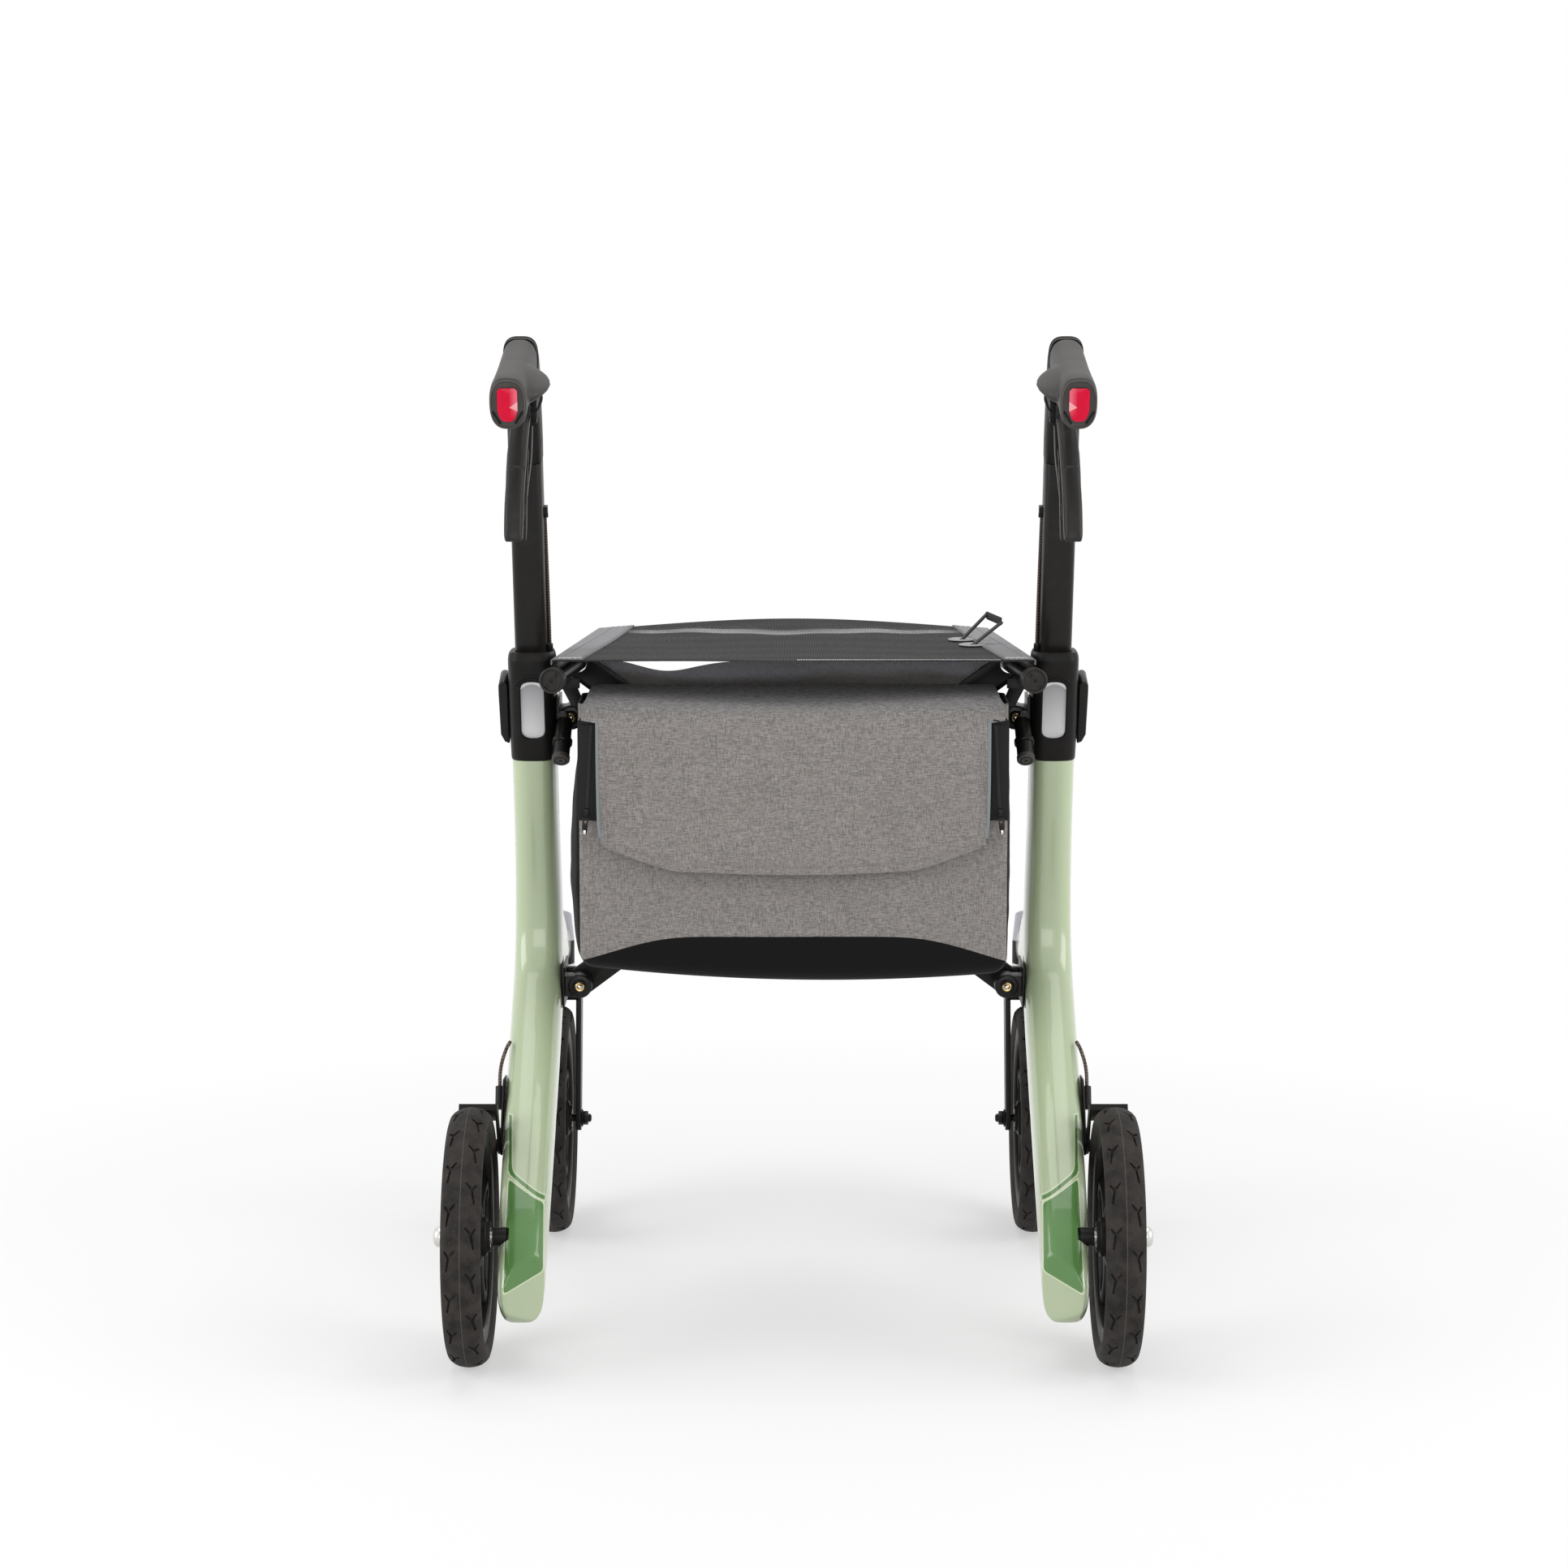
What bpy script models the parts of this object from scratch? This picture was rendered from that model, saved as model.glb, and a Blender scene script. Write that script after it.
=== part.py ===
"""A folding four-wheeled walker with carbon side frames and a scissor under its seat.

Units are metres. +X is the user's right, +Y is forward and +Z is up. The origin lies on the
floor in the middle of the outline. The right side is modelled, and the left is its mirror image.
"""
import math

import bmesh
import bpy
from mathutils import Matrix, Vector

# Wheels and axles
WHEEL_RADIUS = 0.111
TYRE_WIDTH = 0.0338
TYRE_DEPTH = 0.0205
WHEEL_SIDES = 32
REAR_AXLE_Y = -0.225
FRONT_AXLE_Y = 0.225
REAR_WHEEL_X = 0.2774
REAR_SHAFT_RADIUS = 0.006
FRONT_SHAFT_RADIUS = 0.004
RUNNING_GAP = 0.0003
RIM_HUB_HALF = 0.0175

# Side frame: its middle plane, and the line that the hub and the height tube lie on
SIDE_X = 0.2336
LEAN = math.radians(16.3)
AXIS_Y = -0.035
AXIS_Z = 0.62
STEER_Y = 0.262

# Levels along the leaning line
HUB_FOOT = 0.4975
HUB_TOP = 0.5975
CLAMP_MIDDLE = 0.5455
WINDOW_RISE = 0.0080
TUBE_FOOT = 0.417
SLEEVE_SEAM = 0.771
FERRULE_LEVEL = 0.7339
TUBE_HALF_WIDTH = 0.0145
TUBE_HALF_DEPTH = 0.018

# Grip and brake lever
GRIP_SLOPE = math.radians(14)
GRIP_START = Vector((SIDE_X, -0.1350, 0.8570))
GRIP_LENGTH = 0.134
GRIP_SPLAY = 0.0015
NECK_RADIUS = 0.0275
LEVER_PIVOT = Vector((SIDE_X, -0.1235, 0.8120))

# Brake at the rear wheel
SHOE_PIVOT = Vector((0.2597, -0.1280, 0.1680))
SHOE_ANGLE = math.radians(52)
SHOE_GAP = 0.0036
FERRULE_TOP = Vector((0.2610, -0.0985, 0.2150))
FERRULE_FOOT = Vector((0.2610, -0.1060, 0.1955))
CABLE_RADIUS = 0.00165

# Scissor: pivots on the right side, and the layers of its flat bars along Y
LOWER_PIVOT = Vector((0.1950, 0.0, 0.2855))
UPPER_PIVOT = Vector((0.1995, 0.0, 0.5355))
ROD_PIVOT = Vector((0.1972, 0.0, 0.5790))
LINK_REACH = 0.1078
LINK_SLOPE = math.radians(17.2)
LINK_LAYER = (0.0165, 0.0225)
REAR_STRUT_LAYER = (0.0260, 0.0340)
FRONT_STRUT_LAYER = (0.0350, 0.0430)
STRUT_HALF_WIDTH = 0.013
PIVOT_PIN_RADIUS = 0.004

# Seat rods: centre line at the rear cap, how much they toe in towards the front, and the caps
ROD_RADIUS = 0.0075
ROD_REAR = Vector((0.2095, -0.1000, 0.5790))
ROD_TOE_IN = 0.095
ROD_REAR_Y = -0.1060
ROD_FRONT_Y = 0.185
REAR_CAP_RADIUS = 0.0113
FRONT_CAP_RADIUS = 0.0102

# Rails that the seat's edges rest on, one stretch behind the struts and one ahead of them
RAIL_HALF = 0.0016
RAIL_STRETCHES = ((-0.0900, 0.0225), (0.0465, 0.1750))

# Seat and bag
SEAT_REAR_Y = -0.096
SEAT_FRONT_Y = 0.181
SEAT_LEVEL = 0.5940
CLOTH = 0.0018
BAG_HALF_WIDTH = 0.1875
BAG_REAR_Y = -0.0862
BAG_FRONT_Y = 0.004
BAG_TOP = 0.556
BAG_BOTTOM = 0.300
BAG_TAPER = 0.955
FLAP_TOP = 0.5630
FLAP_STEP = 0.5420
FLAP_BOTTOM = 0.4045
FRONT_FLAP_Y = 0.058

AXIS_UP = Vector((0.0, -math.sin(LEAN), math.cos(LEAN)))
GRIP_BACK = Vector((0.0, -math.cos(GRIP_SLOPE), -math.sin(GRIP_SLOPE)))


def clear_scene():
    """Remove what the file holds already."""
    for old in list(bpy.data.objects):
        bpy.data.objects.remove(old, do_unlink=True)


def new_collection(name):
    """A collection linked to the scene."""
    group = bpy.data.collections.new(name)
    bpy.context.scene.collection.children.link(group)
    return group


clear_scene()
ROLLATOR = new_collection("carbon_rollator")


def on_axis(level):
    """The point of the leaning line at a height."""
    return Vector((SIDE_X, AXIS_Y, AXIS_Z)) + AXIS_UP * ((level - AXIS_Z) / math.cos(LEAN))


def along_axis(level, origin):
    """Distance along the leaning line from one height to another."""
    return (level - origin) / math.cos(LEAN)


def rod_centre(y):
    """The centre of the right seat rod at a place along Y."""
    return Vector((ROD_REAR.x - ROD_TOE_IN * (y - ROD_REAR.y), y, ROD_REAR.z))


def object_from(name, shape):
    """Turn a bmesh into a linked object, its faces pointing out."""
    bmesh.ops.recalc_face_normals(shape, faces=shape.faces)
    mesh = bpy.data.meshes.new(name)
    shape.to_mesh(mesh)
    shape.free()
    made = bpy.data.objects.new(name, mesh)
    ROLLATOR.objects.link(made)
    return made


def settle(made, weld=1e-5):
    """Apply an object's modifiers, or turn a curve into a mesh, and merge its loose edges."""
    graph = bpy.context.evaluated_depsgraph_get()
    graph.update()
    mesh = bpy.data.meshes.new_from_object(made.evaluated_get(graph))
    shape = bmesh.new()
    shape.from_mesh(mesh)
    bmesh.ops.remove_doubles(shape, verts=shape.verts, dist=weld)
    name = made.name
    bpy.data.objects.remove(made, do_unlink=True)
    bpy.data.meshes.remove(mesh)
    return object_from(name, shape)


def combine(body, tool, operation):
    """Join a tool to a body, or cut it out, and drop the tool."""
    change = body.modifiers.new(operation.lower(), "BOOLEAN")
    change.operation = operation
    change.object = tool
    change.solver = "EXACT"
    name = body.name
    body.name = name + "_before"
    graph = bpy.context.evaluated_depsgraph_get()
    graph.update()
    mesh = bpy.data.meshes.new_from_object(body.evaluated_get(graph))
    made = bpy.data.objects.new(name, mesh)
    ROLLATOR.objects.link(made)
    for used in (body, tool):
        bpy.data.objects.remove(used, do_unlink=True)
    made.name = name
    return made


def join(body, *tools):
    """Fuse tools with a body into one solid."""
    for tool in tools:
        body = combine(body, tool, "UNION")
    return body


def cut(body, *tools):
    """Take tools out of a body."""
    for tool in tools:
        body = combine(body, tool, "DIFFERENCE")
    return body


def box(name, low, high, bevel=0.0):
    """A box between two corners, its edges rounded where a bevel is given."""
    low = Vector(low)
    high = Vector(high)
    shape = bmesh.new()
    place = Matrix.Translation((low + high) / 2) @ Matrix.Diagonal((*(high - low), 1.0))
    bmesh.ops.create_cube(shape, size=1.0, matrix=place)
    if bevel:
        bmesh.ops.bevel(shape, geom=shape.edges[:], offset=bevel, segments=1, affect="EDGES", profile=0.5)
    return object_from(name, shape)


def rod(name, start, end, radius, end_radius=None, sides=16):
    """A round bar or cone between two points."""
    start = Vector(start)
    end = Vector(end)
    shape = bmesh.new()
    turn = (end - start).to_track_quat("Z", "Y").to_matrix().to_4x4()
    bmesh.ops.create_cone(
        shape,
        cap_ends=True,
        segments=sides,
        radius1=radius,
        radius2=radius if end_radius is None else end_radius,
        depth=(end - start).length,
        matrix=Matrix.Translation((start + end) / 2) @ turn,
    )
    return object_from(name, shape)


def turned(name, profile, centre, closed=False, sides=WHEEL_SIDES):
    """A profile of (radius, distance along +X) pairs turned about an axle, with a flat at the bottom."""
    mesh = bpy.data.meshes.new(name)
    points = [(radius, 0.0, height) for radius, height in profile]
    edges = [(i, i + 1) for i in range(len(points) - 1)]
    if closed:
        edges.append((len(points) - 1, 0))
    mesh.from_pydata(points, edges, [])
    made = bpy.data.objects.new(name, mesh)
    ROLLATOR.objects.link(made)
    screw = made.modifiers.new("turn", "SCREW")
    screw.axis = "Z"
    screw.steps = sides
    screw.render_steps = sides
    screw.use_merge_vertices = True
    screw.merge_threshold = 1e-5
    made = settle(made)
    half_step = Matrix.Rotation(math.pi / sides, 4, "Z")
    made.data.transform(Matrix.Translation(centre) @ Matrix.Rotation(math.pi / 2, 4, "Y") @ half_step)
    return made


def circle_points(centre, radius, start, end, steps):
    """Points of an arc, both ends included."""
    points = []
    for step in range(steps + 1):
        angle = start + (end - start) * step / steps
        points.append((centre[0] + radius * math.cos(angle), centre[1] + radius * math.sin(angle)))
    return points


def bar_outline(start, start_radius, end, end_radius, steps=6):
    """The outline of a flat bar with round ends of two sizes."""
    across = end[0] - start[0]
    up = end[1] - start[1]
    heading = math.atan2(up, across)
    spread = math.acos((start_radius - end_radius) / math.hypot(across, up))
    near = circle_points(start, start_radius, heading + spread, heading + math.tau - spread, steps)
    far = circle_points(end, end_radius, heading - spread, heading + spread, steps)
    return near + far


def plate(name, outline, low, high, plane):
    """A flat outline given thickness: plane YZ is thick along X, plane XZ along Y."""
    curve = bpy.data.curves.new(name, "CURVE")
    curve.dimensions = "2D"
    curve.fill_mode = "BOTH"
    curve.extrude = (high - low) / 2
    spline = curve.splines.new("POLY")
    spline.points.add(len(outline) - 1)
    for point, (across, up) in zip(spline.points, outline):
        point.co = (across, up, 0.0, 1.0)
    spline.use_cyclic_u = True
    made = bpy.data.objects.new(name, curve)
    ROLLATOR.objects.link(made)
    made = settle(made)
    middle = (low + high) / 2
    if plane == "YZ":
        turn = Matrix(((0, 0, 1, middle), (1, 0, 0, 0), (0, 1, 0, 0), (0, 0, 0, 1)))
    else:
        turn = Matrix(((1, 0, 0, 0), (0, 0, -1, middle), (0, 1, 0, 0), (0, 0, 0, 1)))
    made.data.transform(turn)
    return made


def loft(name, stations, squareness=3.0, sides=20, first_heading=None, last_heading=None):
    """A solid through rounded sections (x, y, z, half width along X, half depth) on a path in a YZ plane."""
    shape = bmesh.new()
    rings = []
    last = len(stations) - 1
    for index, (x, y, z, half_width, half_depth) in enumerate(stations):
        before = stations[max(index - 1, 0)]
        after = stations[min(index + 1, last)]
        heading = Vector((0.0, after[1] - before[1], after[2] - before[2]))
        if index == 0 and first_heading is not None:
            heading = first_heading
        if index == last and last_heading is not None:
            heading = last_heading
        heading = heading.normalized()
        depth_way = Vector((0.0, heading.z, -heading.y))
        ring = []
        for side in range(sides):
            angle = math.tau * (side + 0.5) / sides
            across = math.copysign(abs(math.cos(angle)) ** (2 / squareness), math.cos(angle))
            deep = math.copysign(abs(math.sin(angle)) ** (2 / squareness), math.sin(angle))
            place = Vector((x + half_width * across, y, z)) + depth_way * (half_depth * deep)
            ring.append(shape.verts.new(place))
        rings.append(ring)
    for lower, upper in zip(rings, rings[1:]):
        for side in range(sides):
            after = (side + 1) % sides
            shape.faces.new((lower[side], lower[after], upper[after], upper[side]))
    shape.faces.new(rings[0])
    shape.faces.new(rings[-1])
    return object_from(name, shape)


def smooth_route(points, steps=2):
    """A smooth curve through hand-chosen points."""
    points = [Vector(point) for point in points]
    padded = [points[0] * 2 - points[1]] + points + [points[-1] * 2 - points[-2]]
    route = []
    for index in range(1, len(padded) - 2):
        before, start, end, after = padded[index - 1:index + 3]
        for step in range(steps):
            t = step / steps
            bend = (before * 2 - start * 5 + end * 4 - after) * t ** 2
            twist = (start * 3 - before - end * 3 + after) * t ** 3
            route.append((start * 2 + (end - before) * t + bend + twist) / 2)
    route.append(points[-1])
    return route


def cord(name, route, radius, resolution=2):
    """A round cord along a route, its ends closed."""
    curve = bpy.data.curves.new(name, "CURVE")
    curve.dimensions = "3D"
    curve.bevel_depth = radius
    curve.bevel_resolution = resolution
    curve.use_fill_caps = True
    spline = curve.splines.new("POLY")
    spline.points.add(len(route) - 1)
    for point, place in zip(spline.points, route):
        point.co = (*place, 1.0)
    made = bpy.data.objects.new(name, curve)
    ROLLATOR.objects.link(made)
    return settle(made)


def sheet(name, columns, rows, place, thickness=CLOTH):
    """Cloth of even thickness whose points come from place(u, v), with u and v from 0 to 1."""
    shape = bmesh.new()
    bmesh.ops.create_grid(shape, x_segments=columns, y_segments=rows, size=0.5)
    for vertex in shape.verts:
        vertex.co = place(vertex.co.x + 0.5, vertex.co.y + 0.5)
    made = object_from(name, shape)
    wall = made.modifiers.new("wall", "SOLIDIFY")
    wall.thickness = thickness
    wall.offset = 0.0
    return settle(made)


def lean_at(made, level):
    """Move a piece modelled upright at the origin onto the leaning line."""
    made.data.transform(Matrix.Translation(on_axis(level)) @ Matrix.Rotation(LEAN, 4, "X"))
    return made


def sheared_at(made, level):
    """Move a piece modelled upright at the origin onto the leaning line, its sections kept level."""
    shear = Matrix.Identity(4)
    shear[1][2] = -math.tan(LEAN)
    made.data.transform(Matrix.Translation(on_axis(level)) @ shear)
    return made


def upright_section(name, half_width, half_depth, low, high, across=0.0, squareness=4.0):
    """A straight bar of rounded section along the leaning line between two heights."""
    foot = along_axis(low, CLAMP_MIDDLE)
    head = along_axis(high, CLAMP_MIDDLE)
    ends = [(across, 0.0, foot, half_width, half_depth), (across, 0.0, head, half_width, half_depth)]
    return lean_at(loft(name, ends, squareness), CLAMP_MIDDLE)


def carbon_frame():
    """Stem, rear leg and front arm in one piece, hollow where the height tube slides."""
    leg = [
        (HUB_FOOT - RUNNING_GAP, 0.0202, 0.0295, 0.0009), (0.448, 0.0202, 0.0280, 0.0150),
        (0.405, 0.0206, 0.0285, 0.0275), (0.365, 0.0212, 0.0300, 0.0360),
        (0.325, 0.0218, 0.0320, 0.0370), (0.288, 0.0224, 0.0320, 0.0220),
        (0.259, 0.0227, 0.0300, -0.0100), (0.228, 0.0227, 0.0285, -0.0500), (0.189, 0.0224, 0.0280, -0.1000),
        (0.150, 0.0220, 0.0280, -0.1500), (0.113, 0.0215, 0.0275, -0.1950), (0.088, 0.0208, 0.0260, -0.2200),
        (0.068, 0.0200, 0.0240, -0.2390), (0.055, 0.0180, 0.0195, -0.2490), (0.047, 0.0130, 0.0120, -0.2550),
    ]
    arm = [
        (0.335, 0.0180, 0.0280, 0.0250), (0.332, 0.0192, 0.0280, 0.0600), (0.320, 0.0185, 0.0255, 0.1100),
        (0.304, 0.0175, 0.0230, 0.1600), (0.288, 0.0165, 0.0210, 0.2050), (0.278, 0.0160, 0.0200, 0.2520),
    ]
    leg = [(SIDE_X, y, z, half_width, half_depth) for z, half_width, half_depth, y in leg]
    arm = [(SIDE_X, y, z, half_width, half_depth) for z, half_width, half_depth, y in arm]
    frame = loft("right_frame", leg, 3.2, 20, first_heading=Vector((0.0, 0.0, -1.0)))
    frame = join(frame, loft("arm", arm, 3.0, 16))
    slack = 0.0009
    bore = upright_section("bore", TUBE_HALF_WIDTH + slack, TUBE_HALF_DEPTH + slack, 0.336, 0.510)
    channel = upright_section("channel", 0.0050, 0.0026, 0.405, 0.510, across=-0.0152)
    head_seat = rod("head_seat", (SIDE_X, STEER_Y, 0.24), (SIDE_X, STEER_Y, 0.34), 0.0189, sides=24)
    axle_low = (SIDE_X + 0.0105, REAR_AXLE_Y, WHEEL_RADIUS)
    axle_high = (SIDE_X + 0.0300, REAR_AXLE_Y, WHEEL_RADIUS)
    axle_seat = rod("axle_seat", axle_low, axle_high, 0.0084)
    return cut(frame, bore, channel, head_seat, axle_seat)


def hub():
    """The black clamp housing on the stem, open for the height tube and the brake cable."""
    levels = [
        (HUB_FOOT, 0.0203, 0.0297), (0.5060, 0.0207, 0.0312), (0.5230, 0.0209, 0.0323),
        (0.5830, 0.0209, 0.0323), (0.5920, 0.0207, 0.0308), (HUB_TOP, 0.0198, 0.0287),
    ]
    stations = [(0.0, 0.0, z - CLAMP_MIDDLE, width, depth) for z, width, depth in levels]
    housing = sheared_at(loft("right_hub_housing", stations, 4.0, 16), CLAMP_MIDDLE)
    screw_top = along_axis(0.6070, CLAMP_MIDDLE)
    screw_foot = along_axis(0.588, CLAMP_MIDDLE)
    screw_place = (-0.0168, -0.009)
    screw = rod("screw", (*screw_place, screw_foot), (*screw_place, screw_top), 0.0028, sides=12)
    housing = join(housing, lean_at(screw, CLAMP_MIDDLE))
    slack = 0.0004
    bore = upright_section("bore", TUBE_HALF_WIDTH + slack, TUBE_HALF_DEPTH + slack, 0.47, 0.63)
    channel = upright_section("channel", 0.0050, 0.0023, 0.47, 0.63, across=-0.0152)
    recess = window_plate("recess", 0.0109, 0.0278, -0.0400, -0.0272)
    return cut(housing, bore, channel, recess)


def window_plate(name, half_width, half_height, back, front):
    """A long plate with round ends on the hub's rear face, a little inboard of its middle."""
    inboard = -0.0011
    reach = half_height - half_width
    foot = (inboard, WINDOW_RISE - reach)
    head = (inboard, WINDOW_RISE + reach)
    outline = bar_outline(foot, half_width, head, half_width)
    return lean_at(plate(name, outline, back, front, "XZ"), CLAMP_MIDDLE)


def clamp_lever():
    """The lever on the hub's outer side that frees the height tube; it turns about its top end."""
    inner = 0.0214
    top = circle_points((0.0257, 0.0250), 0.0043, math.pi, 0.0, 8)
    outline = [(inner, -0.0310)] + top + [(0.0301, 0.0190), (0.0292, -0.0220), (0.0258, -0.0290)]
    lever = plate("right_clamp_lever", outline, -0.0150, 0.0150, "XZ")
    return lean_at(lever, CLAMP_MIDDLE)


def height_tube():
    """The hollow tube that carries the handle, with the clip that holds the cable's upper end."""
    outer = upright_section("right_height_tube", TUBE_HALF_WIDTH, TUBE_HALF_DEPTH, TUBE_FOOT, SLEEVE_SEAM)
    inner = upright_section("hollow", 0.0122, 0.0157, TUBE_FOOT - 0.01, SLEEVE_SEAM + 0.01)
    tube = cut(outer, inner)
    clip = box("clip", (-0.0204, -0.0040, -0.0042), (-0.0135, 0.0040, 0.0042))
    return join(tube, lean_at(clip, FERRULE_LEVEL))


def handle_body():
    """Sleeve and neck above the height tube, with the two ears that hold the brake lever."""
    seam = on_axis(SLEEVE_SEAM + RUNNING_GAP)
    above = on_axis(0.800)
    stations = [(SIDE_X, seam.y, seam.z, 0.0150, 0.0184), (SIDE_X, above.y, above.z, 0.0150, 0.0190)]
    centre = GRIP_START - GRIP_BACK.cross(Vector((1.0, 0.0, 0.0))) * NECK_RADIUS
    steps = 4
    for step in range(steps + 1):
        heading = math.pi / 2 + LEAN + (math.pi / 2 - LEAN + GRIP_SLOPE) * step / steps
        y = centre.y + NECK_RADIUS * math.sin(heading)
        z = centre.z - NECK_RADIUS * math.cos(heading)
        stations.append((SIDE_X, y, z, 0.0145, 0.0195))
    body = loft("right_handle_body", stations, 3.2, 16, first_heading=AXIS_UP, last_heading=GRIP_BACK)
    ear = bar_outline((-0.1090, 0.8290), 0.0110, (LEVER_PIVOT.y, LEVER_PIVOT.z), 0.0085)
    body = join(body, plate("lug", ear, SIDE_X - 0.0132, SIDE_X + 0.0132, "YZ"))
    slot_low = LEVER_PIVOT - Vector((0.0092, 0.0, 0.0))
    slot_high = LEVER_PIVOT + Vector((0.0092, 0.0, 0.0))
    body = cut(body, rod("slot", slot_low, slot_high, 0.0102, sides=20))
    pin_low = LEVER_PIVOT - Vector((0.0125, 0.0, 0.0))
    pin_high = LEVER_PIVOT + Vector((0.0125, 0.0, 0.0))
    return join(body, rod("pin", pin_low, pin_high, 0.0030, sides=12))


def grip():
    """The rubber grip with its palm rest on the inner side."""
    rings = [
        (0.0004, 0.0145, 0.0195), (0.0250, 0.0149, 0.0188), (0.0650, 0.0150, 0.0192),
        (0.1000, 0.0154, 0.0212), (0.1220, 0.0158, 0.0228), (GRIP_LENGTH, 0.0150, 0.0218),
    ]
    stations = []
    for distance, half_width, half_depth in rings:
        place = GRIP_START + GRIP_BACK * distance
        across = SIDE_X + GRIP_SPLAY * distance / GRIP_LENGTH
        stations.append((across, place.y, place.z, half_width, half_depth))
    handle = loft("right_grip", stations, 2.6, 16)
    wing = bmesh.new()
    size = Matrix.Diagonal((0.0170, 0.0360, 0.0068, 1.0))
    place = GRIP_START + GRIP_BACK * 0.078 + Vector((-0.0120, 0.0, 0.004))
    turn = Matrix.Translation(place) @ Matrix.Rotation(math.radians(17), 4, "X")
    bmesh.ops.create_uvsphere(wing, u_segments=12, v_segments=8, radius=1.0, matrix=turn @ size)
    return join(handle, object_from("wing", wing))


def grip_reflector():
    """The red reflector on the grip's rear end."""
    outline = [
        (-0.0060, 0.0140), (0.0060, 0.0140), (0.0083, 0.0118), (0.0083, -0.0050),
        (0.0062, -0.0118), (0.0030, -0.0142), (-0.0030, -0.0142), (-0.0062, -0.0118),
        (-0.0083, -0.0050), (-0.0083, 0.0118),
    ]
    lens = plate("right_grip_reflector", outline, -0.0030, -0.0003, "XZ")
    place = GRIP_START + GRIP_BACK * GRIP_LENGTH + Vector((GRIP_SPLAY, 0.0, 0.0))
    lens.data.transform(Matrix.Translation(place) @ Matrix.Rotation(GRIP_SLOPE, 4, "X"))
    return lens


def brake_lever():
    """The lever that hangs below the grip, with the eye that turns on the handle's pin."""
    blade = [
        (SIDE_X + 0.0006, -0.1280, 0.8075, 0.0080, 0.0070), (0.2352, -0.1480, 0.7880, 0.0083, 0.0072),
        (0.2360, -0.1660, 0.7640, 0.0080, 0.0065), (0.2370, -0.1800, 0.7370, 0.0079, 0.0056),
        (0.2372, -0.1880, 0.7150, 0.0078, 0.0050), (0.2370, -0.1903, 0.7062, 0.0066, 0.0038),
    ]
    lever = loft("right_brake_lever", blade, 3.0, 12)
    eye_low = LEVER_PIVOT - Vector((0.0088, 0.0, 0.0))
    eye_high = LEVER_PIVOT + Vector((0.0088, 0.0, 0.0))
    lever = join(lever, rod("eye", eye_low, eye_high, 0.0085))
    hole = rod("hole", eye_low - Vector((0.01, 0, 0)), eye_high + Vector((0.01, 0, 0)), 0.0033, sides=12)
    return cut(lever, hole)


def upper_cable():
    """The brake cable from the clip on the tube down into the hub, where it slides with the handle."""
    inboard = Vector((-0.0180, 0.0, 0.0))
    route = [on_axis(level) + inboard for level in (0.7292, 0.66, 0.59, 0.520)]
    return cord("right_brake_cable_upper", route, CABLE_RADIUS)


def lower_cable():
    """The brake cable from the rear leg's outer face to the ferrule on the brake bracket."""
    route = [(0.2540, -0.0660, 0.2482), (0.2568, -0.0735, 0.2435), (0.2590, -0.0815, 0.2372),
             (0.2604, -0.0890, 0.2310), (0.2610, -0.0945, 0.2240), (0.2610, -0.0984, 0.2154)]
    return cord("right_brake_cable_lower", smooth_route(route), CABLE_RADIUS)


def brake_bracket():
    """The flat bracket on the leg that holds the cable's ferrule and the brake arm's pin."""
    outline = [(-0.0700, 0.2190), (-0.0740, 0.1960), (-0.1230, 0.1580), (-0.1350, 0.1610),
               (-0.1370, 0.1730), (-0.1100, 0.2140), (-0.0980, 0.2210)]
    bracket = plate("right_brake_bracket", outline, 0.2567, 0.2583, "YZ")
    ferrule = rod("ferrule", FERRULE_TOP, FERRULE_FOOT, 0.0038, sides=12)
    step = Vector((1.0, 0.0, 0.0))
    pin = rod("pin", SHOE_PIVOT - step * 0.0020, SHOE_PIVOT + step * 0.0018, 0.0030, sides=12)
    pin_head = rod("pin_head", SHOE_PIVOT + step * 0.0014, SHOE_PIVOT + step * 0.0028, 0.0060)
    return join(bracket, ferrule, pin, pin_head)


def brake_shoe():
    """The bell crank on the bracket's pin: a tail for the cable and a pad that presses on the tread."""
    radial = Vector((0.0, math.cos(SHOE_ANGLE), math.sin(SHOE_ANGLE)))
    axle = Vector((0.0, REAR_AXLE_Y, WHEEL_RADIUS))
    pivot = (SHOE_PIVOT.y, SHOE_PIVOT.z)
    pad_depth = 0.0060
    root = axle + radial * (WHEEL_RADIUS + SHOE_GAP + pad_depth - 0.0010)
    low = SHOE_PIVOT.x - 0.0010
    high = SHOE_PIVOT.x + 0.0010
    pad_end = 0.2920
    arm = plate("right_brake_shoe", bar_outline(pivot, 0.0075, (root.y, root.z), 0.0055, 4), low, high, "YZ")
    tail = plate("tail", bar_outline(pivot, 0.0070, (-0.1090, 0.1760), 0.0038, 4), low, high, "YZ")
    pad = box("pad", (low, -0.0110, 0.0), (pad_end, 0.0110, pad_depth))
    foot = axle + radial * (WHEEL_RADIUS + SHOE_GAP)
    pad.data.transform(Matrix.Translation(foot) @ Matrix.Rotation(SHOE_ANGLE - math.pi / 2, 4, "X"))
    arm = join(arm, tail, pad)
    hole_low = Vector((low - 0.01, SHOE_PIVOT.y, SHOE_PIVOT.z))
    hole_high = Vector((high + 0.01, SHOE_PIVOT.y, SHOE_PIVOT.z))
    return cut(arm, rod("hole", hole_low, hole_high, 0.0033, sides=12))


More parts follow.
